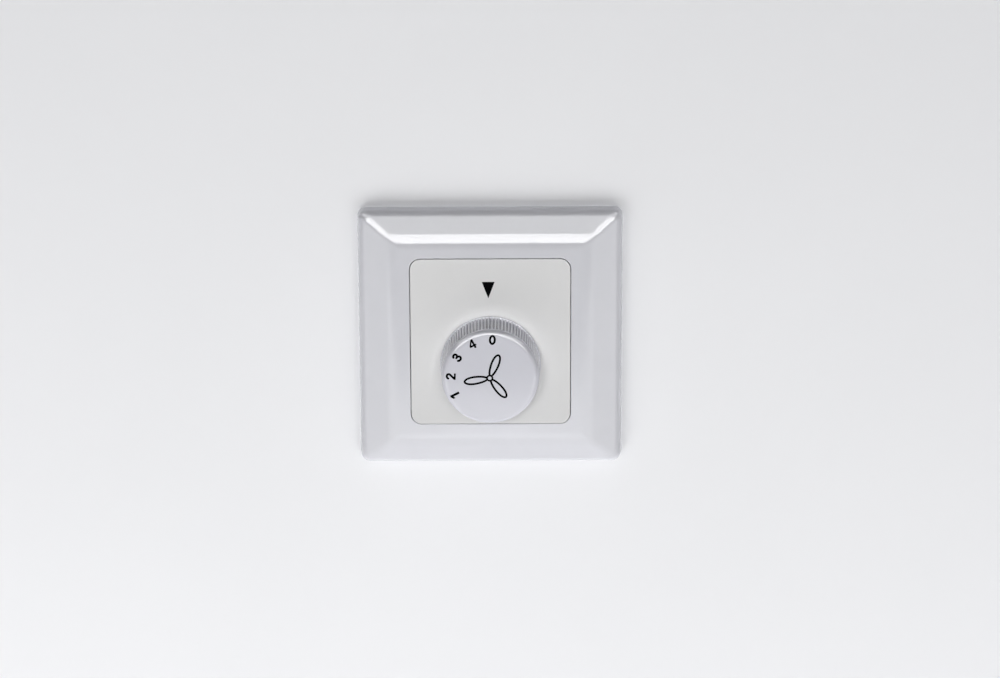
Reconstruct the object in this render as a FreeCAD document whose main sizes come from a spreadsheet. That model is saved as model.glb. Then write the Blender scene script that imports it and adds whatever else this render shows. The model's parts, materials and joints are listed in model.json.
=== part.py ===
import FreeCAD, Part
import math
import os

import Sketcher
from FreeCAD import Placement, Rotation, Vector

# Wall-mounted rotary fan speed switch: a square cover frame, a centre plate and
# a ribbed knob in front of the wall, and a step switch on a steel ring behind
# it. Millimetres, +Z up, the front looks along -Y, and the wall is the plane
# Y = 0. Heights are counted out of the wall, so a height of 8 is Y = -8. The
# origin is the middle of the cover frame, on the wall.

doc = FreeCAD.newDocument("fan_speed_switch")
sheet = doc.addObject("Spreadsheet::Sheet", "Dims")


class Size:
    """A dimension with its spreadsheet expression and its present value."""

    def __init__(self, text, value):
        self.text = text
        self.value = float(value)

    def _two(self, other, sign, fn):
        other = as_size(other)
        return Size("(%s %s %s)" % (self.text, sign, other.text), fn(self.value, other.value))

    def __add__(self, other):
        return self._two(other, "+", lambda a, b: a + b)

    def __sub__(self, other):
        return self._two(other, "-", lambda a, b: a - b)

    def __mul__(self, other):
        return self._two(other, "*", lambda a, b: a * b)

    def __truediv__(self, other):
        return self._two(other, "/", lambda a, b: a / b)

    def __neg__(self):
        return Size("(0 - %s)" % self.text, -self.value)


def as_size(x):
    return x if isinstance(x, Size) else Size("(%.6f)" % x, x)


SIZES = [
    # cover frame
    ("frame_side", 82.0, "outer side of the square cover frame"),
    ("frame_corner", 2.8, "outer corner radius of the frame"),
    ("frame_front", 8.7, "front flat of the frame above the wall"),
    ("frame_draft", 10.0, "draft of the frame's outer edge, degrees"),
    ("frame_slope", 29.0, "fall of the bevel at top and bottom, degrees"),
    ("frame_slope_side", 23.68, "fall of the bevel at left and right, degrees"),
    ("frame_ridge_in", 8.78, "where that bevel meets the flat, in from the upper and lower edge"),
    ("frame_ridge_in_side", 10.9, "where it meets the flat, in from the left and right edge"),
    ("frame_ridge_round", 12.0, "rounding of the ridge"),
    ("frame_mitre_round", 7.0, "rounding of the mitres"),
    ("frame_edge_round", 2.6, "rounding between bevel and outer edge"),
    ("frame_wall", 1.9, "wall thickness of the frame"),
    ("opening_wide", 49.85, "width of the frame's opening"),
    ("opening_tall", 53.3, "height of the frame's opening"),
    ("opening_corner", 3.5, "corner radius of the opening"),
    ("collar_wall", 1.5, "wall of the collar behind the opening"),
    ("collar_back", 2.4, "rear end of the collar above the wall"),
    ("ledge_in", 1.3, "how far the ledge under the plate reaches in"),
    ("ledge_thick", 1.1, "thickness of that ledge"),
    ("rib_thick", 1.2, "stiffening ribs in the frame"),
    # centre plate
    ("plate_wide", 49.4, "width of the centre plate"),
    ("plate_tall", 52.8, "height of the centre plate"),
    ("plate_drop", 0.15, "how far the plate sits below the opening's middle"),
    ("plate_corner", 3.25, "corner radius of the centre plate"),
    ("plate_front", 8.2, "front of the centre plate above the wall"),
    ("plate_skin", 2.0, "thickness of the centre plate"),
    ("plate_skirt", 1.6, "wall of the plate's skirt"),
    ("plate_back", 3.6, "rear edge of the plate's skirt above the wall"),
    ("plate_edge", 0.35, "rounding of the plate's front edge"),
    ("peg_x", 20.0, "locating pegs, sideways from the middle"),
    ("peg_z", 18.0, "locating pegs, up from the middle"),
    ("peg_radius", 1.5, "locating pegs"),
    # knob and shaft axis
    ("axis_z", -7.31, "height of the shaft axis from the frame's middle"),
    ("knob_gap", 0.4, "gap between knob and plate"),
    ("knob_base_radius", 15.6, "plain rim at the knob's base"),
    ("knob_rim", 0.55, "height of that rim"),
    ("knob_rib_radius_low", 15.35, "rib tips at the base"),
    ("knob_rib_radius_top", 14.95, "rib tips at the front"),
    ("knob_rib_low", 0.95, "where the grooves start above the plate"),
    ("knob_rib_top", 13.0, "where the grooves end above the plate"),
    ("knob_height", 14.67, "knob's face above the plate"),
    ("knob_face_radius", 13.5, "flat face of the knob"),
    ("groove_count", 90, "grooves round the knob"),
    ("groove_half", 0.33, "half width of a groove at the tips"),
    ("groove_deep", 0.42, "depth of a groove"),
    ("knob_inside", 13.2, "inner radius of the knob's skirt"),
    ("knob_roof", 12.5, "underside of the knob's face above the plate"),
    ("hub_radius", 5.4, "knob hub"),
    ("hub_low", 4.6, "lower end of the hub above the plate"),
    # turned parts on the axis
    ("shaft_radius", 3.0, "spindle"),
    ("shaft_clear", 0.05, "running clearance of the spindle"),
    ("shaft_flat", 1.5, "flat of the spindle from its axis"),
    ("shaft_end", 20.3, "front end of the spindle above the wall"),
    ("key_half", 2.2, "half height of the two rear flats"),
    ("bush_radius", 5.0, "thread of the bush"),
    ("bush_end", 11.0, "front end of the bush above the wall"),
    ("bush_flange_radius", 7.5, "flange of the bush"),
    ("bush_flange", 1.2, "thickness of that flange"),
    ("nut_flats", 14.0, "nuts, across flats"),
    ("nut_thick", 2.2, "nuts"),
    # mounting ring
    ("ring_side", 71.0, "side of the mounting ring"),
    ("ring_corner", 7.0, "corner radius of the ring"),
    ("ring_thick", 1.0, "steel of the ring"),
    ("box_pitch", 60.0, "spacing of the wall box's screws"),
    ("slot_length", 8.0, "length of a box screw's slot"),
    ("slot_radius", 2.1, "half width of that slot"),
    ("ring_screw_x", 14.0, "screws from ring to switch, sideways"),
    ("ring_screw_z", 12.0, "screws from ring to switch, up"),
    # switch housing
    ("case_radius", 19.0, "round part of the switch case, and half its width"),
    ("case_top", 19.0, "upper end of the case above the middle"),
    ("case_corner", 3.0, "upper corners of the case"),
    ("chamber_radius", 15.0, "round chamber in the case"),
    ("cover_deep", 9.0, "depth of the front half"),
    ("cover_wall", 2.6, "front wall of the front half"),
    ("floor_deep", 14.8, "floor of the chamber below the wall"),
    ("case_deep", 17.0, "rear of the case below the wall"),
    ("barrier_deep", 21.0, "rear of the barriers below the wall"),
    ("barrier_thick", 1.2, "barriers between terminals"),
    ("terminal_pitch", 6.4, "spacing of the terminals"),
    ("terminal_half", 2.6, "half width of a terminal bay"),
    ("terminal_z", 14.5, "height of the terminal screws"),
    ("bay_low", 9.4, "lower end of the terminal bays"),
    ("strip_front", 14.0, "front of the contact strips below the wall"),
    ("strip_thick", 0.78, "contact strips"),
    ("contact_radius", 11.5, "fixed contacts from the axis"),
    # indexing
    ("index_step", 30.0, "angle from one speed to the next, degrees"),
    ("wheel_radius", 8.6, "index wheel"),
    ("wheel_front", 3.1, "front of the index wheel below the wall"),
    ("wheel_thick", 3.8, "index wheel"),
    ("notch_radius", 1.6, "notches of the index wheel"),
    ("notch_out", 9.3, "centre of a notch from the axis"),
    ("lug_radius", 12.6, "stop lug of the index wheel"),
    ("rotor_radius", 12.4, "contact rotor"),
    ("rotor_front", 9.3, "front of the rotor below the wall"),
    ("rotor_thick", 3.0, "contact rotor"),
]

D = {}
for number, (alias, amount, note) in enumerate(SIZES, start=1):
    sheet.set("A%d" % number, note)
    sheet.set("B%d" % number, "%g" % amount)
    sheet.setAlias("B%d" % number, alias)
    D[alias] = Size("Dims." + alias, amount)
doc.recompute()


class Dims:
    def __getattr__(self, alias):
        return D[alias]


d = Dims()


def num(alias):
    """A dimension read back from the spreadsheet."""
    return float(sheet.get(alias))


# ------------------------------------------------------------------ sketches
def new_body(label):
    body = doc.addObject("PartDesign::Body", label)
    body.Label = label
    return body


def plane_of(body, role):
    return [f for f in body.Origin.OriginFeatures if f.Role == role][0]


def front_sketch(body, name, height, on_axis=False):
    """A sketch parallel to the wall at a height out of it, X to the right and Y up."""
    sk = body.newObject("Sketcher::SketchObject", name)
    sk.AttachmentSupport = [(plane_of(body, "XZ_Plane"), "")]
    sk.MapMode = "FlatFace"
    sk.setExpression("AttachmentOffset.Base.z", as_size(height).text)
    if on_axis:
        sk.setExpression("AttachmentOffset.Base.y", d.axis_z.text)
    return sk


def pin(sk, geo, pos, x, y):
    """Fixes a point of the sketch at x, y from its origin."""
    for kind, amount, axis in (("DistanceX", x, -2), ("DistanceY", y, -1)):
        amount = as_size(amount)
        if abs(amount.value) < 1e-9:
            sk.addConstraint(Sketcher.Constraint("PointOnObject", geo, pos, axis))
        else:
            c = sk.addConstraint(Sketcher.Constraint(kind, -1, 1, geo, pos, amount.value))
            sk.setExpression("Constraints[%d]" % c, amount.text)


def radius(sk, geo, amount):
    amount = as_size(amount)
    c = sk.addConstraint(Sketcher.Constraint("Radius", geo, amount.value))
    sk.setExpression("Constraints[%d]" % c, amount.text)


def circle(sk, x, y, r):
    x, y, r = as_size(x), as_size(y), as_size(r)
    g = sk.addGeometry(Part.Circle(Vector(x.value, y.value, 0), Vector(0, 0, 1), r.value))
    radius(sk, g, r)
    pin(sk, g, 3, x, y)
    return g


def polygon(sk, points):
    points = [(as_size(x), as_size(y)) for x, y in points]
    n = len(points)
    lines = []
    for i in range(n):
        a, b = points[i], points[(i + 1) % n]
        lines.append(
            sk.addGeometry(
                Part.LineSegment(Vector(a[0].value, a[1].value, 0), Vector(b[0].value, b[1].value, 0))
            )
        )
    for i in range(n):
        sk.addConstraint(Sketcher.Constraint("Coincident", lines[i], 2, lines[(i + 1) % n], 1))
    for i in range(n):
        pin(sk, lines[i], 1, *points[i])
    return lines


def rectangle(sk, x0, x1, y0, y1):
    return polygon(sk, [(x0, y0), (x1, y0), (x1, y1), (x0, y1)])


def arc(sk, x, y, r, a0, a1):
    return sk.addGeometry(
        Part.ArcOfCircle(
            Part.Circle(Vector(x, y, 0), Vector(0, 0, 1), r), math.radians(a0), math.radians(a1)
        )
    )


def line(sk, x0, y0, x1, y1):
    return sk.addGeometry(Part.LineSegment(Vector(x0, y0, 0), Vector(x1, y1, 0)))


def at_line(sk, kind, geo, amount):
    amount = as_size(amount)
    c = sk.addConstraint(Sketcher.Constraint(kind, -1, 1, geo, 1, amount.value))
    sk.setExpression("Constraints[%d]" % c, amount.text)


def rounded(sk, x0, x1, y0, y1, r):
    """A rectangle with rounded corners."""
    x0, x1, y0, y1, r = [as_size(q) for q in (x0, x1, y0, y1, r)]
    a, b, c, e, q = x0.value, x1.value, y0.value, y1.value, r.value
    bottom = line(sk, a + q, c, b - q, c)
    right = line(sk, b, c + q, b, e - q)
    top = line(sk, b - q, e, a + q, e)
    left = line(sk, a, e - q, a, c + q)
    br = arc(sk, b - q, c + q, q, -90, 0)
    tr = arc(sk, b - q, e - q, q, 0, 90)
    tl = arc(sk, a + q, e - q, q, 90, 180)
    bl = arc(sk, a + q, c + q, q, 180, 270)
    for first, second in (
        (bottom, br), (br, right), (right, tr), (tr, top),
        (top, tl), (tl, left), (left, bl), (bl, bottom),
    ):
        sk.addConstraint(Sketcher.Constraint("Tangent", first, 2, second, 1))
    for g in (bottom, top):
        sk.addConstraint(Sketcher.Constraint("Horizontal", g))
    for g in (right, left):
        sk.addConstraint(Sketcher.Constraint("Vertical", g))
    for g in (tr, tl, bl):
        sk.addConstraint(Sketcher.Constraint("Equal", br, g))
    radius(sk, br, r)
    at_line(sk, "DistanceY", bottom, y0)
    at_line(sk, "DistanceX", right, x1)
    at_line(sk, "DistanceY", top, y1)
    at_line(sk, "DistanceX", left, x0)


def slot(sk, x, y, length, r, upright):
    """A slot with round ends, its length along X or upright along Y."""
    x, y, length, r = [as_size(q) for q in (x, y, length, r)]
    half = length / 2 - r
    if upright:
        p0, p1 = (x, y - half), (x, y + half)
        turn = 90
    else:
        p0, p1 = (x - half, y), (x + half, y)
        turn = 0
    ux, uy = math.cos(math.radians(turn)), math.sin(math.radians(turn))
    nx, ny, q = -uy, ux, r.value
    low = line(sk, p0[0].value - nx * q, p0[1].value - ny * q, p1[0].value - nx * q, p1[1].value - ny * q)
    high = line(sk, p1[0].value + nx * q, p1[1].value + ny * q, p0[0].value + nx * q, p0[1].value + ny * q)
    end = arc(sk, p1[0].value, p1[1].value, q, turn - 90, turn + 90)
    start = arc(sk, p0[0].value, p0[1].value, q, turn + 90, turn + 270)
    for first, second in ((low, end), (end, high), (high, start), (start, low)):
        sk.addConstraint(Sketcher.Constraint("Tangent", first, 2, second, 1))
    for g in (low, high):
        sk.addConstraint(Sketcher.Constraint("Vertical" if upright else "Horizontal", g))
    radius(sk, end, r)
    pin(sk, end, 3, *p1)
    kind, amount = ("DistanceY", p0[1]) if upright else ("DistanceX", p0[0])
    c = sk.addConstraint(Sketcher.Constraint(kind, -1, 1, start, 3, amount.value))
    sk.setExpression("Constraints[%d]" % c, amount.text)


def two_flats(sk, r, half):
    """A circle about the origin with a flat above and below."""
    r, half = as_size(r), as_size(half)
    x = math.sqrt(r.value ** 2 - half.value ** 2)
    a = math.degrees(math.asin(half.value / r.value))
    low = line(sk, -x, -half.value, x, -half.value)
    right = arc(sk, 0, 0, r.value, -a, a)
    high = line(sk, x, half.value, -x, half.value)
    left = arc(sk, 0, 0, r.value, 180 - a, 180 + a)
    for first, second in ((low, right), (right, high), (high, left), (left, low)):
        sk.addConstraint(Sketcher.Constraint("Coincident", first, 2, second, 1))
    for g in (low, high):
        sk.addConstraint(Sketcher.Constraint("Horizontal", g))
    for g in (right, left):
        sk.addConstraint(Sketcher.Constraint("Coincident", g, 3, -1, 1))
    sk.addConstraint(Sketcher.Constraint("Equal", right, left))
    radius(sk, right, r)
    at_line(sk, "DistanceY", low, -half)
    at_line(sk, "DistanceY", high, half)


# ------------------------------------------------------------------ features
def grown(body, before, more, name):
    doc.recompute()
    after = body.Shape.Volume
    if (more and after <= before + 1e-6) or (not more and after >= before - 1e-6):
        raise RuntimeError("%s changed nothing in %s: %.4f to %.4f" % (name, body.Label, before, after))


def volume(body):
    return body.Shape.Volume if not body.Shape.isNull() else 0.0


def pad(body, sk, length, name, inwards=False):
    before = volume(body)
    f = body.newObject("PartDesign::Pad", name)
    f.Profile = sk
    f.setExpression("Length", as_size(length).text)
    f.Reversed = inwards
    grown(body, before, True, name)
    return f


def pocket(body, sk, length, name, outwards=False):
    before = volume(body)
    f = body.newObject("PartDesign::Pocket", name)
    f.Profile = sk
    f.setExpression("Length", as_size(length).text)
    f.Reversed = outwards
    grown(body, before, False, name)
    return f


def axis_sketch(body, name, points, base=None):
    """A half section: points are height out of the wall and radius about the shaft axis."""
    base = d.axis_z if base is None else as_size(base)
    sk = body.newObject("Sketcher::SketchObject", name)
    sk.AttachmentSupport = [(plane_of(body, "YZ_Plane"), "")]
    sk.MapMode = "FlatFace"
    sk.setExpression("AttachmentOffset.Base.y", base.text)
    polygon(sk, [(-as_size(w), as_size(r)) for w, r in points])
    return sk


def revolve(body, name, points, cut=False):
    before = volume(body)
    sk = axis_sketch(body, name + "_section", points)
    f = body.newObject("PartDesign::Groove" if cut else "PartDesign::Revolution", name)
    f.Profile = sk
    f.ReferenceAxis = (sk, ["H_Axis"])
    f.Angle = 360
    grown(body, before, not cut, name)
    return f


def polar(body, feature, sk, count, name):
    f = body.newObject("PartDesign::PolarPattern", name)
    f.Originals = [feature]
    f.Axis = (sk, ["N_Axis"])
    f.Angle = 360
    f.setExpression("Occurrences", as_size(count).text)
    body.Tip = f
    doc.recompute()
    return f


def spoke(r, degrees):
    """A point at an angle clockwise from up, as seen from the front."""
    a = math.radians(degrees)
    return r * math.sin(a), r * math.cos(a)


NODES = {}


def node(label, obj):
    NODES[label] = obj


def group(label, single, places):
    """A set of like pieces: separate solids, each a moved copy of the first."""
    obj = doc.addObject("Part::Feature", label)
    obj.Label = label
    solids = []
    for x, z in places:
        s = single.Shape.copy()
        s.translate(Vector(x, 0, z))
        solids.append(s)
    obj.Shape = Part.makeCompound(solids)
    obj.Placement = Placement()
    node(label, obj)


# ------------------------------------------------------------------ cover frame
# A moulded square frame: a drafted outer edge, a bevelled border with soft
# mitres, a narrow flat round the opening, and a hollow ribbed back.
def rounded_wire(half_x, half_z, r, height):
    """A rounded rectangle round the origin, at a height out of the wall."""
    def at(x, z):
        return Vector(x, -height, z)

    k = r * math.sqrt(0.5)
    cx, cz = half_x - r, half_z - r
    edges = []
    corners = [(cx, cz, 1, 1), (-cx, cz, -1, 1), (-cx, -cz, -1, -1), (cx, -cz, 1, -1)]
    ends = []
    for x, z, sx, sz in corners:
        side = at(x + sx * r, z)
        flat = at(x, z + sz * r)
        mid = at(x + sx * k, z + sz * k)
        first, last = (side, flat) if sx * sz > 0 else (flat, side)
        edges.append(Part.Arc(first, mid, last).toShape())
        ends.append((first, last))
    for i in range(4):
        a, b = ends[i][1], ends[(i + 1) % 4][0]
        if a.distanceToPoint(b) > 1e-6:
            edges.append(Part.LineSegment(a, b).toShape())
    return Part.Wire(Part.__sortEdges__(edges))


def prism(half_x, half_z, r, low, high):
    face = Part.Face(rounded_wire(half_x, half_z, r, low))
    return face.extrude(Vector(0, -(high - low), 0))


def loft(wires):
    return Part.makeLoft(wires, True, True)


def square_wire(half_x, half_z, height):
    return Part.makePolygon(
        [Vector(x * half_x, -height, z * half_z) for x, z in ((1, 1), (-1, 1), (-1, -1), (1, -1), (1, 1))]
    )


def high_edges(block, front):
    """Edges of the front flat, and those that run up to it."""
    tops, mitres = [], []
    for e in block.Edges:
        mid = e.valueAt((e.FirstParameter + e.LastParameter) / 2)
        heights = sorted(-v.Point.y for v in e.Vertexes)
        if heights[0] > front - 0.01 and -mid.y > front - 0.01:
            tops.append(e)
        elif heights[0] < front - 0.01 < heights[-1]:
            mitres.append(e)
    return tops, mitres


def frame_block(inset, drop, soft):
    """The frame's outer form, moved in by inset and back by drop; soft rounds its edges."""
    half = num("frame_side") / 2 - inset
    front = num("frame_front") - drop
    draft = math.tan(math.radians(num("frame_draft")))
    fall_z = math.tan(math.radians(num("frame_slope")))
    fall_x = math.tan(math.radians(num("frame_slope_side")))
    r0 = max(num("frame_corner") - inset, 0.6)
    tall = front + 1.0
    edge = loft(
        [rounded_wire(half, half, r0, 0), rounded_wire(half - draft * tall, half - draft * tall, r0, tall)]
    )
    ridge_z = num("frame_side") / 2 - num("frame_ridge_in") - inset * 0.4
    ridge_x = num("frame_side") / 2 - num("frame_ridge_in_side") - inset * 0.4
    foot_z = ridge_z + (front + 1.0) / fall_z
    foot_x = ridge_x + (front + 1.0) / fall_x
    roof = loft([square_wire(foot_x, foot_z, -1.0), square_wire(ridge_x, ridge_z, front)])
    block = edge.common(roof).removeSplitter()
    if soft:
        block = block.makeFillet(num("frame_mitre_round"), high_edges(block, front)[1])
        block = block.makeFillet(num("frame_ridge_round"), high_edges(block, front)[0])
        outer = []
        for e in block.Edges:
            mid = e.valueAt((e.FirstParameter + e.LastParameter) / 2)
            reach = max(abs(mid.x), abs(mid.z))
            a, b = e.Vertexes[0].Point, e.Vertexes[-1].Point
            low, high = sorted((-a.y, -b.y))
            if low > 1.5 and high < front - 1.5 and reach > half - 2.6 and abs(high - low) < 0.9:
                outer.append(e)
        block = block.makeFillet(num("frame_edge_round"), outer)
    return block


wall = num("frame_wall")
ow, oh, oc = num("opening_wide") / 2, num("opening_tall") / 2, num("opening_corner")
front = num("frame_front")
shell = frame_block(0.0, 0.0, True).cut(frame_block(wall, wall, False))
cw = num("collar_wall")
collar = prism(ow + cw, oh + cw, oc + cw, num("collar_back"), front - 1.0)
half = num("frame_side") / 2
ribs = []
for place in (-22.0, 0.0, 22.0):
    for turn in (0, 90, 180, 270):
        rib = Part.makeBox(
            num("rib_thick"), front - 1.0 - 3.2, half - 1.5 - 27.0,
            Vector(place - num("rib_thick") / 2, -(front - 1.0), 27.0),
        )
        rib.rotate(Vector(0, 0, 0), Vector(0, 1, 0), turn)
        ribs.append(rib)
inside = frame_block(wall * 0.5, wall * 0.5, False)
body_solid = shell.multiFuse([collar.common(inside)] + [r.common(inside) for r in ribs])
ledge_back = num("collar_back")
ledge_front = ledge_back + num("ledge_thick")
opening = prism(ow, oh, oc, ledge_front, front + 1.0)
inner = prism(ow - num("ledge_in"), oh - num("ledge_in"), oc - num("ledge_in"), -1.0, front + 1.0)
body_solid = body_solid.cut(opening).cut(inner).removeSplitter()
lip = []
for e in body_solid.Edges:
    pts = [v.Point for v in e.Vertexes]
    mid = e.valueAt((e.FirstParameter + e.LastParameter) / 2)
    if all(abs(-p.y - front) < 1e-4 for p in pts + [mid]) and abs(mid.x) < ow + 0.01 and abs(mid.z) < oh + 0.01:
        lip.append(e)
body_solid = body_solid.makeFillet(0.5, lip)
frame = doc.addObject("Part::Feature", "cover_frame")
frame.Label = "cover_frame"
frame.Shape = body_solid.Solids[0] if len(body_solid.Solids) == 1 else body_solid
frame.Placement = Placement()
node("cover_frame", frame)

# ------------------------------------------------------------------ centre plate
# A shallow moulded tray with the shaft hole below its middle, a boss round the
# hole, two locating pegs and stiffening ribs.
b = new_body("centre_plate")
sk = front_sketch(b, "plate_outline", d.plate_back)
plate_low = -d.plate_tall / 2 - d.plate_drop
plate_high = d.plate_tall / 2 - d.plate_drop
rounded(sk, -d.plate_wide / 2, d.plate_wide / 2, plate_low, plate_high, d.plate_corner)
pad(b, sk, d.plate_front - d.plate_back, "plate_block")
sk = front_sketch(b, "plate_hollow_outline", d.plate_back)
rounded(
    sk,
    -d.plate_wide / 2 + d.plate_skirt, d.plate_wide / 2 - d.plate_skirt,
    plate_low + d.plate_skirt, plate_high - d.plate_skirt,
    d.plate_corner - d.plate_skirt,
)
pocket(b, sk, d.plate_front - d.plate_skin - d.plate_back, "plate_hollow", outwards=True)
under = d.plate_front - d.plate_skin
sk = front_sketch(b, "plate_boss_outline", under, on_axis=True)
circle(sk, 0, 0, d.bush_radius + 3.0)
pad(b, sk, 1.6, "plate_boss", inwards=True)
sk = front_sketch(b, "plate_rib_outline", under)
rectangle(sk, -d.plate_wide / 2 + 1.0, d.plate_wide / 2 - 1.0, 7.4, 8.4)
pad(b, sk, 1.4, "plate_rib", inwards=True)
sk = front_sketch(b, "plate_rib_outline_left", under)
rectangle(sk, -12.5, -11.5, plate_low + 1.0, plate_high - 1.0)
pad(b, sk, 1.4, "plate_rib_left", inwards=True)
sk = front_sketch(b, "plate_rib_outline_right", under)
rectangle(sk, 11.5, 12.5, plate_low + 1.0, plate_high - 1.0)
pad(b, sk, 1.4, "plate_rib_right", inwards=True)
sk = front_sketch(b, "plate_peg_outline", under)
circle(sk, d.peg_x, d.peg_z, d.peg_radius)
circle(sk, -d.peg_x, d.peg_z, d.peg_radius)
pad(b, sk, under - 0.1, "plate_pegs", inwards=True)
sk = front_sketch(b, "plate_hole_outline", d.plate_front, on_axis=True)
circle(sk, 0, 0, d.bush_radius + 0.2)
pocket(b, sk, 6.0, "plate_hole")
fillet = b.newObject("PartDesign::Fillet", "plate_edge_round")
names = []
for i, e in enumerate(doc.getObject("plate_hole").Shape.Edges, start=1):
    mid = e.valueAt((e.FirstParameter + e.LastParameter) / 2)
    pts = [v.Point for v in e.Vertexes] + [mid]
    outer_edge = abs(mid.x) > num("plate_wide") / 2 - 1.1 or abs(mid.z) > num("plate_tall") / 2 - 1.1
    if outer_edge and all(abs(-p.y - num("plate_front")) < 1e-4 for p in pts):
        names.append("Edge%d" % i)
fillet.Base = (doc.getObject("plate_hole"), names)
fillet.setExpression("Radius", d.plate_edge.text)
b.Tip = fillet
doc.recompute()
node("centre_plate", b)

# ------------------------------------------------------------------ knob
# Moulded cap: plain rim, ninety tapered grooves, rounded shoulder and flat
# face; hollow behind, with a hub for the flatted spindle and six webs.
b = new_body("knob")
base = d.plate_front
low = base + d.knob_gap
rim_top = low + d.knob_rim
face = base + d.knob_height
shoulder = base + d.knob_rib_top + 0.12
sk = axis_sketch(
    b, "knob_outer_section",
    [
        (low, 0),
        (low, d.knob_base_radius),
        (rim_top, d.knob_base_radius),
        (rim_top + 0.15, d.knob_rib_radius_low),
        (shoulder, d.knob_rib_radius_top),
        (face, d.knob_rib_radius_top),
        (face, 0),
    ],
)
rev = b.newObject("PartDesign::Revolution", "knob_outer")
rev.Profile = sk
rev.ReferenceAxis = (sk, ["H_Axis"])
rev.Angle = 360
doc.recompute()
edge_names = []
for i, e in enumerate(rev.Shape.Edges, start=1):
    pts = [v.Point for v in e.Vertexes]
    r = math.hypot(pts[0].x, pts[0].z - num("axis_z"))
    flat = abs(-pts[0].y - (num("plate_front") + num("knob_height"))) < 1e-4
    if flat and abs(r - num("knob_rib_radius_top")) < 1e-3:
        edge_names.append("Edge%d" % i)
fillet = b.newObject("PartDesign::Fillet", "knob_shoulder")
fillet.Base = (rev, edge_names)
fillet.setExpression("Radius", (d.knob_rib_radius_top - d.knob_face_radius).text)
b.Tip = fillet
doc.recompute()
revolve(
    b, "knob_hollow",
    [
        (low - 0.5, 0),
        (low - 0.5, d.knob_inside),
        (base + d.knob_roof, d.knob_inside - 0.4),
        (base + d.knob_roof, 0),
    ],
    cut=True,
)
sk = front_sketch(b, "knob_hub_outline", base + d.knob_roof + 0.3, on_axis=True)
circle(sk, 0, 0, d.hub_radius)
pad(b, sk, d.knob_roof + 0.3 - d.hub_low, "knob_hub", inwards=True)
sk = front_sketch(b, "knob_web_outline", base + d.knob_roof + 0.3, on_axis=True)
rectangle(sk, -0.5, 0.5, d.hub_radius - 0.5, d.knob_inside + 0.1)
web = pad(b, sk, 4.2, "knob_web", inwards=True)
polar(b, web, sk, 6, "knob_webs")
# the bore has a flat on the right, set back to leave room for the spring clip
sk = front_sketch(b, "knob_bore_outline", base + d.hub_low, on_axis=True)
bore = d.shaft_radius + 0.04
flat_at = d.shaft_flat + 0.55
bx = flat_at.value
bz = math.sqrt(bore.value ** 2 - bx ** 2)
ba = math.degrees(math.acos(bx / bore.value))
g_arc = arc(sk, 0, 0, bore.value, ba, 360 - ba)
g_flat = line(sk, bx, -bz, bx, bz)
sk.addConstraint(Sketcher.Constraint("Coincident", g_arc, 2, g_flat, 1))
sk.addConstraint(Sketcher.Constraint("Coincident", g_flat, 2, g_arc, 1))
sk.addConstraint(Sketcher.Constraint("Coincident", g_arc, 3, -1, 1))
sk.addConstraint(Sketcher.Constraint("Vertical", g_flat))
radius(sk, g_arc, bore)
at_line(sk, "DistanceX", g_flat, flat_at)
pocket(b, sk, d.knob_roof - d.hub_low - 0.05, "knob_bore", outwards=True)
# one tapered groove, then the whole ring of them


def groove_sketch(name, height, tip):
    sk = front_sketch(b, name, height, on_axis=True)
    polygon(
        sk,
        [(-d.groove_half - 0.08, tip + 0.1), (d.groove_half + 0.08, tip + 0.1), (0.08, tip - d.groove_deep), (-0.08, tip - d.groove_deep)],
    )
    return sk


sk_low = groove_sketch("knob_groove_low", base + d.knob_rib_low, d.knob_rib_radius_low)
sk_top = groove_sketch("knob_groove_top", base + d.knob_rib_top, d.knob_rib_radius_top)
before = volume(b)
groove = b.newObject("PartDesign::SubtractiveLoft", "knob_groove")
groove.Profile = sk_low
groove.Sections = [sk_top]
groove.Ruled = True
grown(b, before, False, "knob_groove")
polar(b, groove, sk_low, d.groove_count, "knob_grooves")
node("knob", b)

# a bent strip of spring steel between the spindle's flat and the hub
b = new_body("knob_spring_clip")
sk = front_sketch(b, "clip_leg_outline", base + d.hub_low - 0.45, on_axis=True)
rectangle(sk, d.shaft_flat + 0.06, d.shaft_flat + 0.46, -1.75, 1.75)
pad(b, sk, 6.8, "clip_leg")
sk = front_sketch(b, "clip_foot_outline", base + d.hub_low - 0.45, on_axis=True)
rectangle(sk, d.shaft_flat + 0.06, d.hub_radius - 0.5, -1.75, 1.75)
pad(b, sk, 0.4, "clip_foot")
node("knob_spring_clip", b)

# ------------------------------------------------------------------ spindle group
b = new_body("spindle")
revolve(
    b, "spindle_turned",
    [
        (-16.0, 0),
        (-16.0, 1.2),
        (-15.7, 1.5),
        (-12.75, 1.5),
        (-12.75, d.shaft_radius),
        (-2.9, d.shaft_radius),
        (-2.9, 4.5),
        (-1.4, 4.5),
        (-1.4, d.shaft_radius),
        (d.bush_end + 0.15, d.shaft_radius),
        (d.bush_end + 0.15, 2.5),
        (d.bush_end + 0.85, 2.5),
        (d.bush_end + 0.85, d.shaft_radius),
        (d.shaft_end - 0.4, d.shaft_radius),
        (d.shaft_end, d.shaft_radius - 0.4),
        (d.shaft_end, 0),
    ],
)
sk = front_sketch(b, "spindle_flat_outline", d.shaft_end + 0.5, on_axis=True)
rectangle(sk, d.shaft_flat, 5.0, -5.0, 5.0)
pocket(b, sk, d.shaft_end + 0.5 - base - d.hub_low + 0.6, "spindle_flat")
sk = front_sketch(b, "spindle_key_outline", -2.9, on_axis=True)
rectangle(sk, -5.0, 5.0, d.key_half, 5.0)
rectangle(sk, -5.0, 5.0, -5.0, -d.key_half)
pocket(b, sk, 9.85, "spindle_key")
node("spindle", b)

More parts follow.
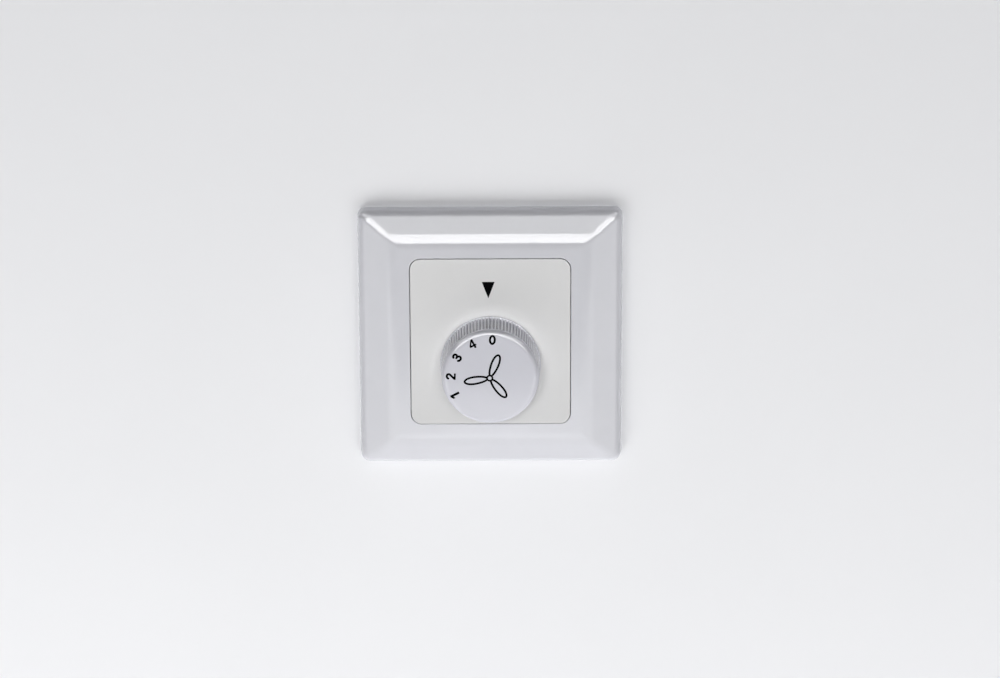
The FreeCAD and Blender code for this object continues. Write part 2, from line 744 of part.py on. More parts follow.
b = new_body("retaining_ring")
sk = front_sketch(b, "retaining_ring_outline", d.bush_end + 0.2, on_axis=True)
circle(sk, 0, 0, 4.6)
circle(sk, 0, 0, 2.56)
pad(b, sk, 0.6, "retaining_ring_blank")
sk = front_sketch(b, "retaining_ring_gap_outline", d.bush_end + 0.8, on_axis=True)
rectangle(sk, -2.2, 2.2, -6.0, -1.2)
pocket(b, sk, 1.0, "retaining_ring_gap")
sk = front_sketch(b, "retaining_ring_relief_outline", d.bush_end + 0.8, on_axis=True)
circle(sk, 3.0, 1.6, 0.7)
circle(sk, -3.0, 1.6, 0.7)
pocket(b, sk, 1.0, "retaining_ring_relief")
node("retaining_ring", b)

# ------------------------------------------------------------------ bush and nuts
b = new_body("threaded_bush")
revolve(
    b, "bush_turned",
    [
        (-d.bush_flange, d.shaft_radius + d.shaft_clear),
        (-d.bush_flange, d.bush_flange_radius),
        (-0.02, d.bush_flange_radius),
        (-0.02, d.bush_radius),
        (d.bush_end - 0.5, d.bush_radius),
        (d.bush_end, d.bush_radius - 0.5),
        (d.bush_end, d.shaft_radius + d.shaft_clear),
    ],
)
node("threaded_bush", b)

b = new_body("lock_washer")
sk = front_sketch(b, "lock_washer_outline", d.ring_thick, on_axis=True)
circle(sk, 0, 0, 8.4)
circle(sk, 0, 0, d.bush_radius + 0.1)
pad(b, sk, 0.6, "lock_washer_blank")
sk = front_sketch(b, "lock_washer_gap_outline", d.ring_thick + 0.6, on_axis=True)
rectangle(sk, -0.45, 0.45, 7.1, 9.0)
gap = pocket(b, sk, 1.0, "lock_washer_gap")
polar(b, gap, sk, 16, "lock_washer_teeth")
node("lock_washer", b)


def hex_nut(label, height):
    b = new_body(label)
    sk = front_sketch(b, label + "_outline", height, on_axis=True)
    across = d.nut_flats.value / 2 / math.cos(math.radians(30))
    polygon(sk, [(d.nut_flats * (math.sin(math.radians(a)) * across / d.nut_flats.value),
                  d.nut_flats * (math.cos(math.radians(a)) * across / d.nut_flats.value)) for a in (30, 90, 150, 210, 270, 330)])
    pad(b, sk, d.nut_thick, label + "_blank")
    sk = front_sketch(b, label + "_bore_outline", height, on_axis=True)
    circle(sk, 0, 0, d.bush_radius + 0.02)
    pocket(b, sk, d.nut_thick + 1.0, label + "_bore", outwards=True)
    top = height + d.nut_thick
    revolve(
        b, label + "_chamfer",
        [(top + 0.2, 7.0 - 0.35), (top + 0.2, 9.0), (top - 0.75, 9.0)],
        cut=True,
    )
    node(label, b)


hex_nut("bush_nut", d.ring_thick + 0.6)
hex_nut("plate_nut", d.plate_front + 0.5)

b = new_body("plate_washer")
sk = front_sketch(b, "plate_washer_outline", d.plate_front, on_axis=True)
circle(sk, 0, 0, 8.3)
circle(sk, 0, 0, d.bush_radius + 0.1)
pad(b, sk, 0.5, "plate_washer_blank")
node("plate_washer", b)

# ------------------------------------------------------------------ mounting ring
# Stamped steel: shaft hole, slots for the wall box's screws both ways, holes
# for the plate's pegs and for the screws into the switch.
b = new_body("mounting_ring")
sk = front_sketch(b, "ring_outline", 0.0)
rounded(sk, -d.ring_side / 2, d.ring_side / 2, -d.ring_side / 2, d.ring_side / 2, d.ring_corner)
pad(b, sk, d.ring_thick, "ring_blank")
sk = front_sketch(b, "ring_hole_outline", d.ring_thick)
circle(sk, 0, d.axis_z, d.bush_radius + 0.15)
for sign in (1, -1):
    circle(sk, d.peg_x * sign, d.peg_z, d.peg_radius + 0.2)
    circle(sk, d.ring_screw_x * sign, d.ring_screw_z, 1.6)
pocket(b, sk, d.ring_thick + 1.0, "ring_holes")
sk = front_sketch(b, "ring_slot_outline", d.ring_thick)
for sign in (1, -1):
    slot(sk, d.box_pitch / 2 * sign, 0, d.slot_length, d.slot_radius, False)
pocket(b, sk, d.ring_thick + 1.0, "ring_slots_across")
sk = front_sketch(b, "ring_slot_outline_upright", d.ring_thick)
for sign in (1, -1):
    slot(sk, 0, d.box_pitch / 2 * sign, d.slot_length, d.slot_radius, True)
pocket(b, sk, d.ring_thick + 1.0, "ring_slots_upright")
node("mounting_ring", b)

# ------------------------------------------------------------------ switch case
terminals = [d.terminal_pitch * i for i in (-2, -1, 0, 1, 2)]
case_screws = [(17.1, 13.0), (-17.1, 13.0)]
for a in (115, 180, 245):
    x, z = spoke(17.0, a)
    case_screws.append((x, num("axis_z") + z))


def case_blank(b, height, length, tag):
    sk = front_sketch(b, tag + "_round", height, on_axis=True)
    circle(sk, 0, 0, d.case_radius)
    pad(b, sk, length, tag + "_round_block", inwards=True)
    sk = front_sketch(b, tag + "_square", height)
    rounded(sk, -d.case_radius, d.case_radius, d.axis_z - 3.0, d.case_top, d.case_corner)
    pad(b, sk, length, tag + "_square_block", inwards=True)


# front half: seat of the bush, stops for the index wheel, seats of the leaf spring
b = new_body("switch_cover")
case_blank(b, -0.02, d.cover_deep - 0.04, "cover")
sk = front_sketch(b, "cover_chamber", -d.cover_deep, on_axis=True)
circle(sk, 0, 0, d.chamber_radius)
pocket(b, sk, d.cover_deep - d.cover_wall, "cover_hollow", outwards=True)
sk = front_sketch(b, "cover_bush_seat", 0.0, on_axis=True)
circle(sk, 0, 0, d.bush_flange_radius + 0.1)
pocket(b, sk, d.bush_flange + 0.05, "cover_seat")
sk = front_sketch(b, "cover_shaft_hole", 0.0, on_axis=True)
circle(sk, 0, 0, 4.9)
pocket(b, sk, d.cover_wall + 1.0, "cover_hole")
sk = front_sketch(b, "cover_ring_screw", 0.0)
for sign in (1, -1):
    circle(sk, d.ring_screw_x * sign, d.ring_screw_z, 1.25)
pocket(b, sk, 6.5, "cover_ring_screws")
sk = front_sketch(b, "cover_case_screw", -d.cover_deep)
for x, z in case_screws:
    circle(sk, x, z, 1.12)
pocket(b, sk, 5.0, "cover_case_screws", outwards=True)
sk = front_sketch(b, "cover_stops", -d.cover_wall + 0.2, on_axis=True)
for a0, a1 in ((78.5, 90.5), (229.5, 241.5)):
    polygon(sk, [spoke(9.3, a0), spoke(15.3, a0), spoke(15.3, a1), spoke(9.3, a1)])
pad(b, sk, 4.6, "cover_stop_blocks", inwards=True)
sk = front_sketch(b, "cover_leaf_seats", -d.cover_wall + 0.2, on_axis=True)
for sign in (1, -1):
    rectangle(sk, 8.2 * sign, 10.6 * sign, 9.85, 12.0)
    rectangle(sk, 9.6 * sign, 11.2 * sign, 7.8, 9.15)
pad(b, sk, 4.6, "cover_leaf_blocks", inwards=True)
node("switch_cover", b)

# rear half: contact floor, five terminal bays with barriers, bearing for the spindle
b = new_body("switch_base")
case_blank(b, -d.cover_deep, d.case_deep - d.cover_deep, "base")
sk = front_sketch(b, "base_chamber", -d.cover_deep, on_axis=True)
circle(sk, 0, 0, d.chamber_radius)
pocket(b, sk, d.floor_deep - d.cover_deep, "base_hollow")
sk = front_sketch(b, "base_bearing", -d.floor_deep, on_axis=True)
circle(sk, 0, 0, 1.56)
pocket(b, sk, 1.5, "base_bearing_hole")
sk = front_sketch(b, "base_bays", -d.case_deep)
for x in terminals:
    rectangle(sk, x - d.terminal_half, x + d.terminal_half, d.bay_low, d.case_top + 1.0)
pocket(b, sk, d.case_deep - d.strip_front, "base_bay_pockets", outwards=True)
sk = front_sketch(b, "base_strip_ways", -d.strip_front + 0.1)
for i, x in enumerate(terminals):
    bottom = d.axis_z + 1.0 if i in (0, 4) else Size("(4.0)", 4.0)
    rectangle(sk, x - 2.2, x + 2.2, bottom, d.bay_low + 0.3)
pocket(b, sk, 0.95, "base_strip_slots")
sk = front_sketch(b, "base_terminal_screw", -d.strip_front)
for x in terminals:
    circle(sk, x, d.terminal_z, 1.7)
pocket(b, sk, 4.2, "base_terminal_screws", outwards=True)
sk = front_sketch(b, "base_case_screw", -d.case_deep)
for x, z in case_screws:
    circle(sk, x, z, 1.3)
pocket(b, sk, d.case_deep - d.cover_deep + 1.0, "base_case_screws", outwards=True)
sk = front_sketch(b, "base_barriers", -d.case_deep + 0.5)
for i in range(4):
    x = (terminals[i] + terminals[i + 1]) / 2
    rectangle(sk, x - d.barrier_thick / 2, x + d.barrier_thick / 2, d.bay_low - 1.6, d.case_top - 0.4)
pad(b, sk, d.barrier_deep - d.case_deep + 0.5, "base_barrier_walls", inwards=True)
sk = front_sketch(b, "base_back_wall", -d.case_deep + 0.5)
rectangle(sk, -d.terminal_pitch * 2 - d.terminal_half, d.terminal_pitch * 2 + d.terminal_half, d.bay_low - 1.6, d.bay_low - 0.3)
pad(b, sk, d.barrier_deep - d.case_deep + 0.5, "base_back_barrier", inwards=True)
node("switch_base", b)

# ------------------------------------------------------------------ indexing
b = new_body("index_wheel")
sk = front_sketch(b, "wheel_outline", -d.wheel_front, on_axis=True)
circle(sk, 0, 0, d.wheel_radius)
pad(b, sk, d.wheel_thick, "wheel_blank", inwards=True)
sk = front_sketch(b, "wheel_notch_outline", -d.wheel_front, on_axis=True)
circle(sk, 0, d.notch_out, d.notch_radius)
notch = pocket(b, sk, d.wheel_thick + 1.0, "wheel_notch")
polar(b, notch, sk, 12, "wheel_notches")
sk = front_sketch(b, "wheel_lug_outline", -d.wheel_front, on_axis=True)
polygon(sk, [spoke(6.5, 90.0), spoke(d.lug_radius.value, 92.0), spoke(d.lug_radius.value, 108.0), spoke(6.5, 110.0)])
pad(b, sk, d.wheel_thick, "wheel_lug", inwards=True)
sk = front_sketch(b, "wheel_bore_outline", -d.wheel_front, on_axis=True)
two_flats(sk, d.shaft_radius + 0.03, d.key_half + 0.03)
pocket(b, sk, d.wheel_thick + 1.0, "wheel_bore")
node("index_wheel", b)

b = new_body("detent_spring")
sk = front_sketch(b, "leaf_outline", -3.3, on_axis=True)
polygon(
    sk,
    [
        (-11.0, 9.3), (-2.2, 9.3), (-0.5, 7.9), (0.5, 7.9), (2.2, 9.3), (11.0, 9.3),
        (11.0, 9.7), (2.05, 9.7), (0.33, 8.3), (-0.33, 8.3), (-2.05, 9.7), (-11.0, 9.7),
    ],
)
pad(b, sk, 3.4, "leaf", inwards=True)
node("detent_spring", b)

b = new_body("contact_rotor")
sk = front_sketch(b, "rotor_outline", -d.rotor_front, on_axis=True)
circle(sk, 0, 0, d.rotor_radius)
pad(b, sk, d.rotor_thick, "rotor_disc", inwards=True)
sk = front_sketch(b, "rotor_hub_outline", -d.rotor_front, on_axis=True)
circle(sk, 0, 0, 5.0)
pad(b, sk, 2.2, "rotor_hub")
sk = front_sketch(b, "rotor_pins_outline", -d.rotor_front - d.rotor_thick, on_axis=True)
circle(sk, -7.3, 0, 0.55)
circle(sk, -9.4, 0, 0.55)
pad(b, sk, 0.65, "rotor_pins", inwards=True)
sk = front_sketch(b, "rotor_bore_outline", -d.rotor_front + 2.5, on_axis=True)
two_flats(sk, d.shaft_radius + 0.03, d.key_half + 0.03)
pocket(b, sk, d.rotor_thick + 4.0, "rotor_bore")
node("contact_rotor", b)

b = new_body("wiper_contact")
wiper_front = -d.rotor_front - d.rotor_thick - 0.02
sk = front_sketch(b, "wiper_outline", wiper_front, on_axis=True)
rectangle(sk, -12.9, -4.1, -1.7, 1.7)
circle(sk, -7.3, 0, 0.62)
circle(sk, -9.4, 0, 0.62)
pad(b, sk, 0.4, "wiper_strip", inwards=True)
sk = front_sketch(b, "wiper_point_outline", wiper_front - 0.3, on_axis=True)
circle(sk, -5.5, 0, 1.0)
circle(sk, -d.contact_radius, 0, 1.0)
pad(b, sk, 0.73, "wiper_points", inwards=True)
node("wiper_contact", b)

# ------------------------------------------------------------------ fixed contacts
strip_low = -d.strip_front


def contact(label, index, outline, degrees):
    b = new_body(label)
    sk = front_sketch(b, label + "_outline", strip_low)
    polygon(sk, outline)
    circle(sk, terminals[index], d.terminal_z, 1.62)
    pad(b, sk, d.strip_thick, label + "_strip", inwards=True)
    sk = front_sketch(b, label + "_button_outline", strip_low - 0.2, on_axis=True)
    x, z = spoke(1.0, degrees)
    circle(sk, d.contact_radius * x, d.contact_radius * z, 1.55)
    pad(b, sk, 0.7, label + "_button")
    node(label, b)


contact(
    "contact_speed_4", 0,
    [(-14.9, 18.6), (-14.9, -1.0), (-12.6, -3.4), (-8.3, -3.4), (-8.3, 0.2), (-10.7, 0.2), (-10.7, 18.6)], -60,
)
contact(
    "contact_speed_3", 1,
    [(-8.5, 18.6), (-8.5, 2.5), (-7.4, 0.95), (-4.3, 0.95), (-4.3, 18.6)], -30,
)
contact("contact_speed_2", 2, [(-2.1, 18.6), (-2.1, 2.4), (2.1, 2.4), (2.1, 18.6)], 0)
contact(
    "contact_speed_1", 3,
    [(8.5, 18.6), (8.5, 2.5), (7.4, 0.95), (4.3, 0.95), (4.3, 18.6)], 30,
)

b = new_body("contact_common")
sk = front_sketch(b, "common_outline", strip_low)
polygon(
    sk,
    [(5.0, -9.3), (13.4, -9.3), (14.3, -6.0), (14.9, -4.0), (14.9, 18.6), (10.7, 18.6), (10.7, -5.3), (5.0, -5.3)],
)
circle(sk, terminals[4], d.terminal_z, 1.62)
pad(b, sk, d.strip_thick, "common_strip", inwards=True)
sk = front_sketch(b, "common_ring_outline", strip_low - d.strip_thick, on_axis=True)
circle(sk, 0, 0, 6.9)
circle(sk, 0, 0, 4.2)
pad(b, sk, d.strip_thick + 0.5, "common_ring")
node("contact_common", b)

# ------------------------------------------------------------------ like pieces
# wire clamps: square plates with turned edges, one on each terminal screw
b = new_body("one_clamp")
sk = front_sketch(b, "clamp_outline", -16.4)
rectangle(sk, -2.4, 2.4, d.terminal_z - 3.4, d.terminal_z + 3.4)
circle(sk, 0, d.terminal_z, 1.65)
pad(b, sk, 0.8, "clamp_plate", inwards=True)
sk = front_sketch(b, "clamp_lip_outline", -17.0)
rectangle(sk, -2.4, -1.9, d.terminal_z - 3.4, d.terminal_z + 3.4)
rectangle(sk, 1.9, 2.4, d.terminal_z - 3.4, d.terminal_z + 3.4)
pad(b, sk, 1.3, "clamp_lips")
group("terminal_clamps", b, [(t.value, 0) for t in terminals])


def screw_body(label, at_x, at_z, seat, head_r, head_h, shank_r, length, outwards):
    """A pan-headed slotted screw; outwards says that its head looks out of the wall."""
    b = new_body(label)
    sign = 1 if outwards else -1
    sk = front_sketch(b, label + "_head_outline", seat)
    circle(sk, at_x, at_z, head_r)
    pad(b, sk, head_h, label + "_head", inwards=not outwards)
    sk = front_sketch(b, label + "_shank_outline", as_size(seat) + 0.2 * sign)
    circle(sk, at_x, at_z, shank_r)
    pad(b, sk, as_size(length) + 0.2, label + "_shank", inwards=outwards)
    plain = b.Tip
    names = []
    far = as_size(seat).value + sign * as_size(head_h).value
    for i, e in enumerate(plain.Shape.Edges, start=1):
        if abs(-e.Vertexes[0].Point.y - far) < 1e-4:
            names.append("Edge%d" % i)
    round_off = b.newObject("PartDesign::Fillet", label + "_crown")
    round_off.Base = (plain, names)
    round_off.Radius = min(0.6, as_size(head_h).value * 0.5)
    b.Tip = round_off
    doc.recompute()
    sk = front_sketch(b, label + "_slot_outline", as_size(seat) + as_size(head_h) * sign)
    rectangle(sk, as_size(at_x) - head_r - 0.2, as_size(at_x) + head_r + 0.2, as_size(at_z) - 0.35, as_size(at_z) + 0.35)
    pocket(b, sk, as_size(head_h) * 0.55, label + "_slot", outwards=not outwards)
    return b


one = screw_body("one_terminal_screw", 0, d.terminal_z, -17.22, 2.35, 1.9, 1.5, 6.6, False)
group("terminal_screws", one, [(t.value, 0) for t in terminals])
one = screw_body("one_case_screw", 0, 0, -17.02, 1.75, 1.5, 1.05, 11.5, False)
group("case_screws", one, case_screws)
one = screw_body("one_ring_screw", 0, 0, num("ring_thick"), 2.6, 1.5, 1.2, 7.0, True)
group("ring_screws", one, [(num("ring_screw_x"), num("ring_screw_z")), (-num("ring_screw_x"), num("ring_screw_z"))])

# ------------------------------------------------------------------ tests and files
doc.recompute()
for obj in doc.Objects:
    if "Invalid" in obj.State or "Error" in obj.State:
        raise RuntimeError("%s is not sound: %s" % (obj.Name, obj.State))
os.makedirs("parts", exist_ok=True)
for label, obj in NODES.items():
    shape = obj.Shape
    if shape.isNull() or not shape.isValid() or not shape.Solids:
        raise RuntimeError("%s has no sound shape" % label)
    if obj.Label != label:
        raise RuntimeError("label of %s is %s" % (label, obj.Label))
for label, obj in NODES.items():
    solids = obj.Shape.Solids
    out = solids[0] if len(solids) == 1 else Part.makeCompound(solids)
    out.exportStep("parts/%s.step" % label)
    box = out.BoundBox
    print(
        "%-18s solids %d volume %9.2f  x %7.2f %7.2f  y %7.2f %7.2f  z %7.2f %7.2f"
        % (label, len(solids), out.Volume, box.XMin, box.XMax, box.YMin, box.YMax, box.ZMin, box.ZMax)
    )
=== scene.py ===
"""Fan speed switch on a pale wall: finishes, printed marks, camera and light."""
import json
import math

import bmesh
import bpy
import numpy as np
from mathutils import Matrix, Vector
from mathutils.geometry import tessellate_polygon

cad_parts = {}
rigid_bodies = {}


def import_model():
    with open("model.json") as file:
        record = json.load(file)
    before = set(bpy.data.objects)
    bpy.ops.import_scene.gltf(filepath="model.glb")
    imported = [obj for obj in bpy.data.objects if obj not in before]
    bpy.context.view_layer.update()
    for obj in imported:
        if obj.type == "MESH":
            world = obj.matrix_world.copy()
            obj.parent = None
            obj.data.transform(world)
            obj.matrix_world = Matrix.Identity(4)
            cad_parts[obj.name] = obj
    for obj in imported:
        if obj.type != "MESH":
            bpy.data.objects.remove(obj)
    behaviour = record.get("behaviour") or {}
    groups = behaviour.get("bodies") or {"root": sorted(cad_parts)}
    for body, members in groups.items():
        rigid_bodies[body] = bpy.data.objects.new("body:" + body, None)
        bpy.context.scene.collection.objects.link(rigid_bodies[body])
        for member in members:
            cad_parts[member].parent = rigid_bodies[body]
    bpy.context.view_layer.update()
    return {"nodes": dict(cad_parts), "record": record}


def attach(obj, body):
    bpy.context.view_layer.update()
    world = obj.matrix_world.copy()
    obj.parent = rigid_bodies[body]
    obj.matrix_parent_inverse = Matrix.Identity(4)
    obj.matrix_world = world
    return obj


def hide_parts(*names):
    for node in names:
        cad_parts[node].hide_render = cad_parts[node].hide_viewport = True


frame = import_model()
nodes = frame["nodes"]
scene = bpy.context.scene
MM = 0.001


# ------------------------------------------------------------------ materials
class Finish:
    """A node material: principled shader, object coordinates, and helpers that feed it."""

    def __init__(self, name, **sockets):
        self.mat = bpy.data.materials.new(name)
        self.mat.use_nodes = True
        self.tree = self.mat.node_tree
        self.tree.nodes.clear()
        self.out = self.add("ShaderNodeOutputMaterial")
        self.bsdf = self.add("ShaderNodeBsdfPrincipled")
        self.link(self.bsdf.outputs[0], self.out.inputs[0])
        self.place = self.add("ShaderNodeTexCoord").outputs["Object"]
        self.normal = None
        for key, value in sockets.items():
            self.bsdf.inputs[key.replace("_", " ")].default_value = value

    def add(self, kind):
        return self.tree.nodes.new(kind)

    def link(self, a, b):
        self.tree.links.new(a, b)

    def stretched(self, x, y, z):
        n = self.add("ShaderNodeMapping")
        n.inputs["Scale"].default_value = (x, y, z)
        self.link(self.place, n.inputs["Vector"])
        return n.outputs[0]

    def noise(self, size_mm, detail=3.0, rough=0.55, distortion=0.0, vector=None):
        n = self.add("ShaderNodeTexNoise")
        n.inputs["Scale"].default_value = 1.0 / (size_mm * MM)
        n.inputs["Detail"].default_value = detail
        n.inputs["Roughness"].default_value = rough
        n.inputs["Distortion"].default_value = distortion
        self.link(vector or self.place, n.inputs["Vector"])
        return n.outputs[0]

    def cells(self, size_mm, feature="F1", vector=None):
        n = self.add("ShaderNodeTexVoronoi")
        n.feature = feature
        n.inputs["Scale"].default_value = 1.0 / (size_mm * MM)
        self.link(vector or self.place, n.inputs["Vector"])
        return n

    def spread(self, value, low, high, start=0.3, end=0.7):
        n = self.add("ShaderNodeMapRange")
        n.inputs["From Min"].default_value = start
        n.inputs["From Max"].default_value = end
        n.inputs["To Min"].default_value = low
        n.inputs["To Max"].default_value = high
        self.link(value, n.inputs["Value"])
        return n.outputs[0]

    def mixed(self, factor, a, b, kind="MIX"):
        n = self.add("ShaderNodeMix")
        n.data_type = "RGBA"
        n.blend_type = kind
        ins = [s for s in n.inputs if s.type == "RGBA"]
        for s, v in zip(ins, (a, b)):
            if isinstance(v, tuple):
                s.default_value = (*v, 1.0)
            else:
                self.link(v, s)
        if isinstance(factor, float):
            n.inputs[0].default_value = factor
        else:
            self.link(factor, n.inputs[0])
        return [s for s in n.outputs if s.type == "RGBA"][0]

    def colour(self, value):
        self.link(value, self.bsdf.inputs["Base Color"])
        return self

    def rough(self, value):
        self.link(value, self.bsdf.inputs["Roughness"])
        return self

    def bump(self, height, depth_mm, strength=1.0):
        n = self.add("ShaderNodeBump")
        n.inputs["Strength"].default_value = strength
        n.inputs["Distance"].default_value = depth_mm * MM
        self.link(height, n.inputs["Height"])
        if self.normal is not None:
            self.link(self.normal, n.inputs["Normal"])
        self.normal = n.outputs[0]
        self.link(self.normal, self.bsdf.inputs["Normal"])
        return self


def rib_shade(f, base):
    """Painted shade: darkens the grooves between the knob's ribs, and a little the ribs themselves."""
    def math_node(kind, a, b, c=None):
        n = f.add("ShaderNodeMath")
        n.operation = kind
        for s, v in zip(n.inputs, (a, b, c)):
            if isinstance(v, float):
                s.default_value = v
            elif v is not None:
                f.link(v, s)
        return n.outputs[0]

    apart = f.add("ShaderNodeSeparateXYZ")
    f.link(f.place, apart.inputs[0])
    out = math_node("MULTIPLY_ADD", apart.outputs["Y"], -1000.0, -8.2)
    across = f.add("ShaderNodeMapping")
    across.inputs["Scale"].default_value = (1000.0, 0.0, 1000.0)
    across.inputs["Location"].default_value = (0.0, 0.0, 7.31)
    f.link(f.place, across.inputs["Vector"])
    radius = f.add("ShaderNodeVectorMath")
    radius.operation = "LENGTH"
    f.link(across.outputs[0], radius.inputs[0])
    depth = math_node("SUBTRACT", math_node("MULTIPLY_ADD", out, -0.0332, 15.3815), radius.outputs["Value"])
    on_ribs = f.spread(out, 1.0, 0.0, 12.35, 12.65)
    patchy = f.spread(f.noise(3.0, 3.0, 0.6), 0.85, 1.0)
    # painted shade, deepest in the grooves and uneven over the knob
    groove_shade = math_node("MULTIPLY", math_node("MULTIPLY", f.spread(depth, 0.16, 0.74, 0.04, 0.46), on_ribs), patchy)
    return f.mixed(groove_shade, base, (0.14, 0.14, 0.15))


def moulded(name, pale, deep, gloss, grain_mm, grain_deep, wave_deep, extra=None, **sockets):
    """Moulded plastic: faint flow shading, uneven gloss, tool grain and slow waviness."""
    f = Finish(name, **sockets)
    flow = f.noise(11.0, 2.0, 0.5, 0.6)
    fine = f.noise(0.9, 3.0, 0.6)
    base = f.mixed(f.spread(flow, 0.0, 1.0, 0.25, 0.75), deep, pale)
    specks = f.spread(fine, 0.0, 0.055, 0.55, 0.85)
    base = f.mixed(specks, base, tuple(0.82 * v for v in deep))
    # extra may add painted shade, as on the knob's ribs
    f.colour(extra(f, base) if extra else base)
    f.rough(f.spread(f.noise(4.5, 4.0, 0.6), gloss[0], gloss[1]))
    if wave_deep:
        f.bump(f.noise(7.0, 1.0, 0.4), wave_deep)
    f.bump(f.noise(grain_mm, 2.0, 0.5), grain_deep)
    return f.mat


def plated(name, pale, deep, gloss, streak=(1.0, 1.0, 1.0), stain=None, bump_deep=0.002):
    """Metal sheet or turned metal: plating patches, drawn streaks and small stains."""
    f = Finish(name, Metallic=1.0)
    patches = f.cells(0.9, vector=None).outputs["Distance"]
    cloud = f.noise(2.6, 5.0, 0.62, 0.4)
    base = f.mixed(f.spread(cloud, 0.0, 1.0, 0.28, 0.72), deep, pale)
    base = f.mixed(f.spread(patches, 0.0, 0.22, 0.1, 0.9), base, deep)
    if stain:
        spots = f.spread(f.noise(5.5, 6.0, 0.7, 0.8), 0.0, 0.6, 0.56, 0.78)
        base = f.mixed(spots, base, stain)
    f.colour(base)
    lines = f.noise(0.35, 3.0, 0.6, 0.0, f.stretched(*streak))
    f.rough(f.spread(lines, gloss[0], gloss[1], 0.3, 0.7))
    f.bump(lines, bump_deep)
    f.bump(cloud, bump_deep * 1.5)
    return f.mat


FRAME_WHITE = moulded(
    "frame_white", (0.700, 0.703, 0.745), (0.680, 0.684, 0.726), (0.07, 0.12), 0.22, 0.0003, 0.0012,
)
PLATE_WHITE = moulded(
    "plate_white", (0.646, 0.645, 0.645), (0.632, 0.631, 0.631), (0.40, 0.50), 0.11, 0.0045, 0.002,
)
# the knob's finish carries painted shade on its ribs and in its grooves
KNOB_WHITE = moulded(
    "knob_white", (0.668, 0.670, 0.728), (0.656, 0.658, 0.716), (0.045, 0.065), 0.16, 0.0001, 0.0012, rib_shade,
)
CASE_GREY = moulded(
    "case_grey", (0.115, 0.118, 0.125), (0.085, 0.088, 0.094), (0.42, 0.60), 0.14, 0.006, 0.004,
)
ROTOR_NYLON = moulded(
    "rotor_nylon", (0.74, 0.71, 0.62), (0.68, 0.64, 0.54), (0.34, 0.46), 0.18, 0.003, 0.002,
)


def fibre_board():
    """Vulcanised fibre: reddish brown with short pressed threads."""
    f = Finish("fibre")
    threads = f.noise(0.25, 5.0, 0.7, 0.5, f.stretched(1.0, 0.4, 2.2))
    f.colour(f.mixed(f.spread(threads, 0.0, 1.0), (0.20, 0.055, 0.032), (0.34, 0.115, 0.068)))
    f.rough(f.spread(threads, 0.62, 0.82))
    f.bump(threads, 0.012)
    return f.mat


def ink():
    """Pad-printed black: slightly open film over the plastic."""
    f = Finish("ink_black", Specular_IOR_Level=0.0)
    film = f.noise(0.12, 3.0, 0.6)
    f.colour(f.mixed(f.spread(film, 0.0, 1.0), (0.0018, 0.0018, 0.0023), (0.0042, 0.0042, 0.0052)))
    f.rough(f.spread(film, 0.58, 0.74))
    f.bump(film, 0.0015)
    return f.mat


FIBRE = fibre_board()
INK = ink()
ZINC = plated("zinc_steel", (0.78, 0.79, 0.80), (0.60, 0.62, 0.65), (0.26, 0.42), (0.15, 1.0, 1.0), (0.44, 0.44, 0.43))
SPRING = plated("spring_steel", (0.46, 0.47, 0.50), (0.33, 0.34, 0.37), (0.22, 0.34), (0.1, 1.0, 1.0))
BRASS = plated("brass", (0.88, 0.68, 0.36), (0.74, 0.53, 0.25), (0.20, 0.36), (1.0, 0.15, 1.0), (0.46, 0.31, 0.15))
BRONZE = plated("bronze", (0.82, 0.54, 0.34), (0.68, 0.41, 0.24), (0.22, 0.36), (0.15, 1.0, 1.0), (0.42, 0.24, 0.15))
SLOTS = {
    "frame_white": FRAME_WHITE, "plate_white": PLATE_WHITE, "knob_white": KNOB_WHITE, "case_grey": CASE_GREY,
    "rotor_nylon": ROTOR_NYLON, "fibre": FIBRE, "zinc_steel": ZINC, "spring_steel": SPRING, "brass": BRASS,
    "bronze": BRONZE,
}
for entry in frame["record"]["subparts"]:
    o = nodes[entry["node"]]
    if not o.material_slots:
        o.data.materials.append(None)
    for s in o.material_slots:
        s.material = SLOTS[entry["material_slot"]]


# ------------------------------------------------------------------ mesh helpers
def new_object(name, verts, faces, mat, body, sharp=34.0):
    """A mesh in millimetres, x right, height out of the wall, z up, made into a piece of the object."""
    mesh = bpy.data.meshes.new(name)
    mesh.from_pydata([(x * MM, -w * MM, z * MM) for x, w, z in verts], [], faces)
    bm = bmesh.new()
    bm.from_mesh(mesh)
    bmesh.ops.recalc_face_normals(bm, faces=bm.faces)
    bm.to_mesh(mesh)
    bm.free()
    mesh.materials.append(mat)
    mesh.shade_smooth()
    if sharp:
        mesh.set_sharp_from_angle(angle=math.radians(sharp))
    obj = bpy.data.objects.new(name, mesh)
    scene.collection.objects.link(obj)
    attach(obj, body)
    return obj


def bands(rows, closed):
    """Quads between rings of equal length; closed joins the last ring to the first."""
    count = len(rows[0])
    verts = [tuple(p) for row in rows for p in row]
    faces = []
    for k in range(len(rows) if closed else len(rows) - 1):
        a, b = k * count, ((k + 1) % len(rows)) * count
        for i in range(count):
            j = (i + 1) % count
            faces.append((a + i, a + j, b + j, b + i))
    return verts, faces


# ------------------------------------------------------------------ cover frame
# One moulding: drafted edge, rounded outer edge, bevelled border with soft
# mitres, flat, rounded lip, opening with a ledge, and a hollow back.
SIDE, CORNER, FRONT = 41.0, 2.8, 8.7
DRAFT = math.tan(math.radians(6.0))
FALL_X, FALL_Z = math.tan(math.radians(23.68)), math.tan(math.radians(29.0))
RIDGE_X, RIDGE_Z = SIDE - 10.9, SIDE - 8.78
SOFT, MITRE, EDGE, LIP = 12.0, 5.5, 3.8, 0.22
OPEN_X, OPEN_Z, OPEN_R = 49.85 / 2, 53.3 / 2, 3.5


